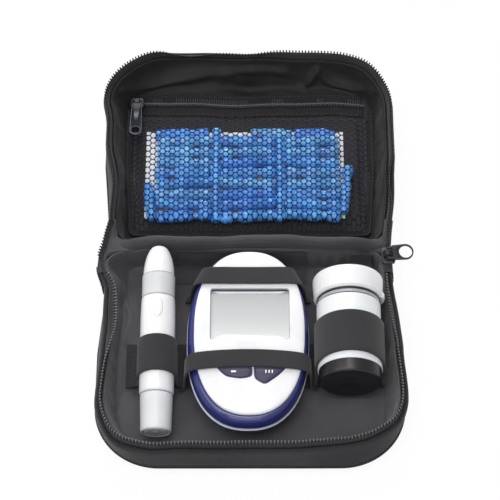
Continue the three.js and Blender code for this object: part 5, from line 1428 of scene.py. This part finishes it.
def slider_roof(centres, radius, base):
    plan = walked(rounded(centres, radius, 6), 60)
    return np.array([stacked(*(plan * scale).T, base + high) for scale, high in ROOF_STEPS])


def bridge_arc(half, high):
    """The bow that a slider's pull hangs on: across, up."""
    turn = np.linspace(-1.45, 1.45, 24)
    return half * np.sin(turn), high * np.cos(turn) ** 0.7


def make_main_slider():
    """Rounded roof, side rails and bridge, drawn with the zipper's way along Y."""
    centres = ((1.5, 2.6), (-1.0, 2.6), (-1.2, -2.6), (1.7, -2.6))
    parts = [formed(slider_roof(centres, 1.7, -2.75))]
    for x in (-2.1, 2.5):
        parts.append(tube(stacked(x, np.linspace(-3.6, 2.2, 8), -3.5), 0.5, 10))
    across, up = bridge_arc(1.65, 3.0)
    path = stacked(across, 0, up - 2.0)
    ups = unit(np.cross(tangents(path), ALONG))
    parts.append(formed(swept(path, ALONG, ups, rounded_band(2.6, 0.7))))
    merged("main_slider_body", turned(parts, "z", SLIDER_TURN, MAIN_SLIDER), "dark_gunmetal",
           "main_slider", "main_slider")


def make_main_pull():
    """The ribbed tab with its large ring, drawn with the tab along X and turned to the zipper."""
    sides = np.array([(2.2, -3.7), (5.0, -3.8), (8.1, -3.92)])
    turn = np.linspace(-1.5, 1.5, 26)
    ring = stacked(8.1 + 3.75 * np.cos(turn), 3.92 * np.sin(turn))
    corners = np.vstack([sides, ring, sides[::-1] * (1, -1)])
    parts = [pull_plate(corners, (8.2, 0.0), (3.0, 3.25), 1.25)]
    for side in (-1, 1):
        prong = [(-0.4, 2.72, 0), (0.6, 2.72, 0), (1.8, 2.75, 0), (2.9, 2.75, 0)]
        parts.append(tube(np.array(prong) * (1, side, 1), 0.62, 12))
    parts.append(tube([(0, -2.9, 0), (0, -1, 0), (0, 1, 0), (0, 2.9, 0)], 0.5, 12))
    for x, reach in ((2.8, 2.9), (3.45, 2.9), (4.1, 2.9), (4.75, 2.5)):
        parts.append(tube(stacked(x, np.linspace(-reach, reach, 6), 0.6), 0.2))
    merged("main_pull_ring", turned(parts, "z", SLIDER_TURN, MAIN_SLIDER), "dark_gunmetal",
           "main_pull", "main_pull")


def make_pocket_slider():
    x, v = POCKET_SLIDER[:2]
    roof = slider_roof(((1.7, 1.5), (-1.7, 1.5), (-1.7, -1.5), (1.7, -1.5)), 1.6, 5.2)
    surface("pocket_slider_roof", roof + (x, v, 0), "gunmetal", "pocket_slider", "pocket_slider")
    for side, tag in ((-1, "near"), (1, "far")):
        path = stacked(x + np.linspace(-2.6, 2.6, 8), v + side * 2.62, 4.85)
        band(f"pocket_slider_rail_{tag}", path, ALONG, UP, 0.9, 0.9, "gunmetal", "pocket_slider")
    across, up = bridge_arc(1.75, 2.5)
    path = stacked(x, v + across, 6.0 + up)
    ups = unit(np.cross(ACROSS, tangents(path)))
    band("pocket_slider_bridge", path, ACROSS, ups, 2.3, 0.6, "gunmetal", "pocket_slider")


def make_pocket_pull():
    """A tapered flat pull with a raised border, hanging from the slider's bridge."""
    turn = np.linspace(0.1, 3.04, 26)
    end = stacked(-3.05 * np.cos(turn), -20.7 - 3.05 * np.sin(turn))
    corners = np.vstack([
        [(3.05, -20.6), (2.4, -3.0)], arc(1.7, -2.9, 0.7, 0, 90, 5),
        arc(-1.7, -2.9, 0.7, 90, 180, 5), [(-2.4, -3.0), (-3.05, -20.6)], end])
    parts = [pull_plate(corners, (0.0, -20.4), (2.0, 2.2), 1.2, rim=0.42, recess=0.3)]
    for side in (-1, 1):
        arm = [(1.85, 0.1, 0), (1.85, -1.2, 0), (1.8, -2.4, 0), (1.75, -3.2, 0)]
        parts.append(tube(np.array(arm) * (side, 1, 1), 0.48, 12))
    parts.append(tube([(-2.1, 0, 0), (-1, 0, 0), (1, 0, 0), (2.1, 0, 0)], 0.48, 12))
    merged("pocket_pull_tab", turned(parts, "x", -POCKET_PULL_LIFT, POCKET_SLIDER), "gunmetal",
           "pocket_pull", "pocket_pull")


def dress(node, look, edge):
    """Gives a CAD node that stays its material and rounded edges in mm."""
    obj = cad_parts[node]
    obj.data.materials.clear()
    obj.data.materials.append(LOOKS[look])
    obj.modifiers.new("weld", "WELD").merge_threshold = 0.00002
    edges = obj.modifiers.new("edges", "BEVEL")
    edges.width = edge / 1000
    edges.segments = 3
    edges.limit_method = "ANGLE"
    edges.harden_normals = False


make_main_slider()
make_main_pull()
make_pocket_slider()
make_pocket_pull()
dress("vial_strips", "strip_cream", 0.1)

# ---------------------------------------------------------------- stage, light and camera

FLOOR_HALF, FLOOR_Z, FLOOR_GREY, FLOOR_GLOW = 4, -0.0005, 0.86, 0.92
WORLD_ON_OBJECT, WORLD_SEEN = 0.46, 1.0
CAMERA_AT, CAMERA_TARGET, CAMERA_LENS = (0, -0.38985, 0.77855), (0, 0.05965, 0), 137.8
# Name, place and target in metres, size, watts
LAMPS = (
    ("key", (-0.05, -0.05, 1.25), (0.0, 0.0, 0.02), 0.66, 5.4),
    ("back", (-0.12, 1.1, 0.7), (0.0, 0.0, 0.02), 0.7, 11.0),
    ("left", (-0.75, -0.25, 0.9), (-0.03, -0.02, 0.02), 0.9, 4.6),
    ("front", (-0.1, -0.85, 0.8), (0.0, 0.05, 0.02), 0.9, 3.3),
)


def added(name, data, place=(0, 0, 0), target=None):
    """A new object in the scene, facing its target if it has one."""
    obj = bpy.data.objects.new(name, data)
    obj.location = place
    if target:
        way = Vector(target) - Vector(place)
        obj.rotation_euler = way.to_track_quat("-Z", "Y").to_euler()
    bpy.context.scene.collection.objects.link(obj)
    return obj


def make_floor():
    """A pale floor that looks white to the camera and in reflections, and keeps the shadow."""
    look = bpy.data.materials.new("stage_floor")
    look.use_nodes = True
    tree = look.node_tree
    shader = tree.nodes["Principled BSDF"]
    feed(tree, shader, {"Base Color": (FLOOR_GREY,) * 3 + (1,), "Roughness": 0.9})
    rays = add_node(tree, "LightPath").outputs
    seen = maths(tree, "MAXIMUM", rays["Is Glossy Ray"], rays["Is Transmission Ray"])
    seen = maths(tree, "MAXIMUM", rays["Is Camera Ray"], seen)
    glow = add_node(tree, "Emission", {"Strength": 1.0}).outputs[0]
    share = maths(tree, "MULTIPLY", seen, FLOOR_GLOW)
    mix = add_node(tree, "MixShader", {0: share, 1: shader.outputs[0], 2: glow})
    feed(tree, tree.nodes["Material Output"], {"Surface": mix.outputs[0]})
    mesh = bpy.data.meshes.new("floor")
    corners = [(x * FLOOR_HALF, y * FLOOR_HALF, FLOOR_Z)
               for x, y in ((-1, -1), (1, -1), (1, 1), (-1, 1))]
    mesh.from_pydata(corners, [], [(0, 1, 2, 3)])
    mesh.materials.append(look)
    added("floor", mesh)


def make_world():
    world = bpy.context.scene.world = bpy.data.worlds.new("studio")
    world.use_nodes = True
    tree = world.node_tree
    seen = add_node(tree, "LightPath").outputs["Is Camera Ray"]
    values = {"Factor": seen, "A": WORLD_ON_OBJECT, "B": WORLD_SEEN}
    strength = add_node(tree, "Mix", values, data_type="FLOAT").outputs[0]
    feed(tree, tree.nodes["Background"], {"Color": (1, 1, 1, 1), "Strength": strength})


def make_lights():
    for name, place, target, size, watts in LAMPS:
        data = bpy.data.lights.new(name, "AREA")
        data.shape = "SQUARE"
        data.size = size
        data.energy = watts
        added(name, data, place, target)


def make_camera():
    data = bpy.data.cameras.new("camera")
    data.sensor_width = 36.0
    data.lens = CAMERA_LENS
    data.clip_start, data.clip_end = 0.05, 20.0
    bpy.context.scene.camera = added("camera", data, CAMERA_AT, CAMERA_TARGET)
    bpy.context.scene.view_settings.view_transform = "Standard"


make_floor()
make_world()
make_lights()
make_camera()
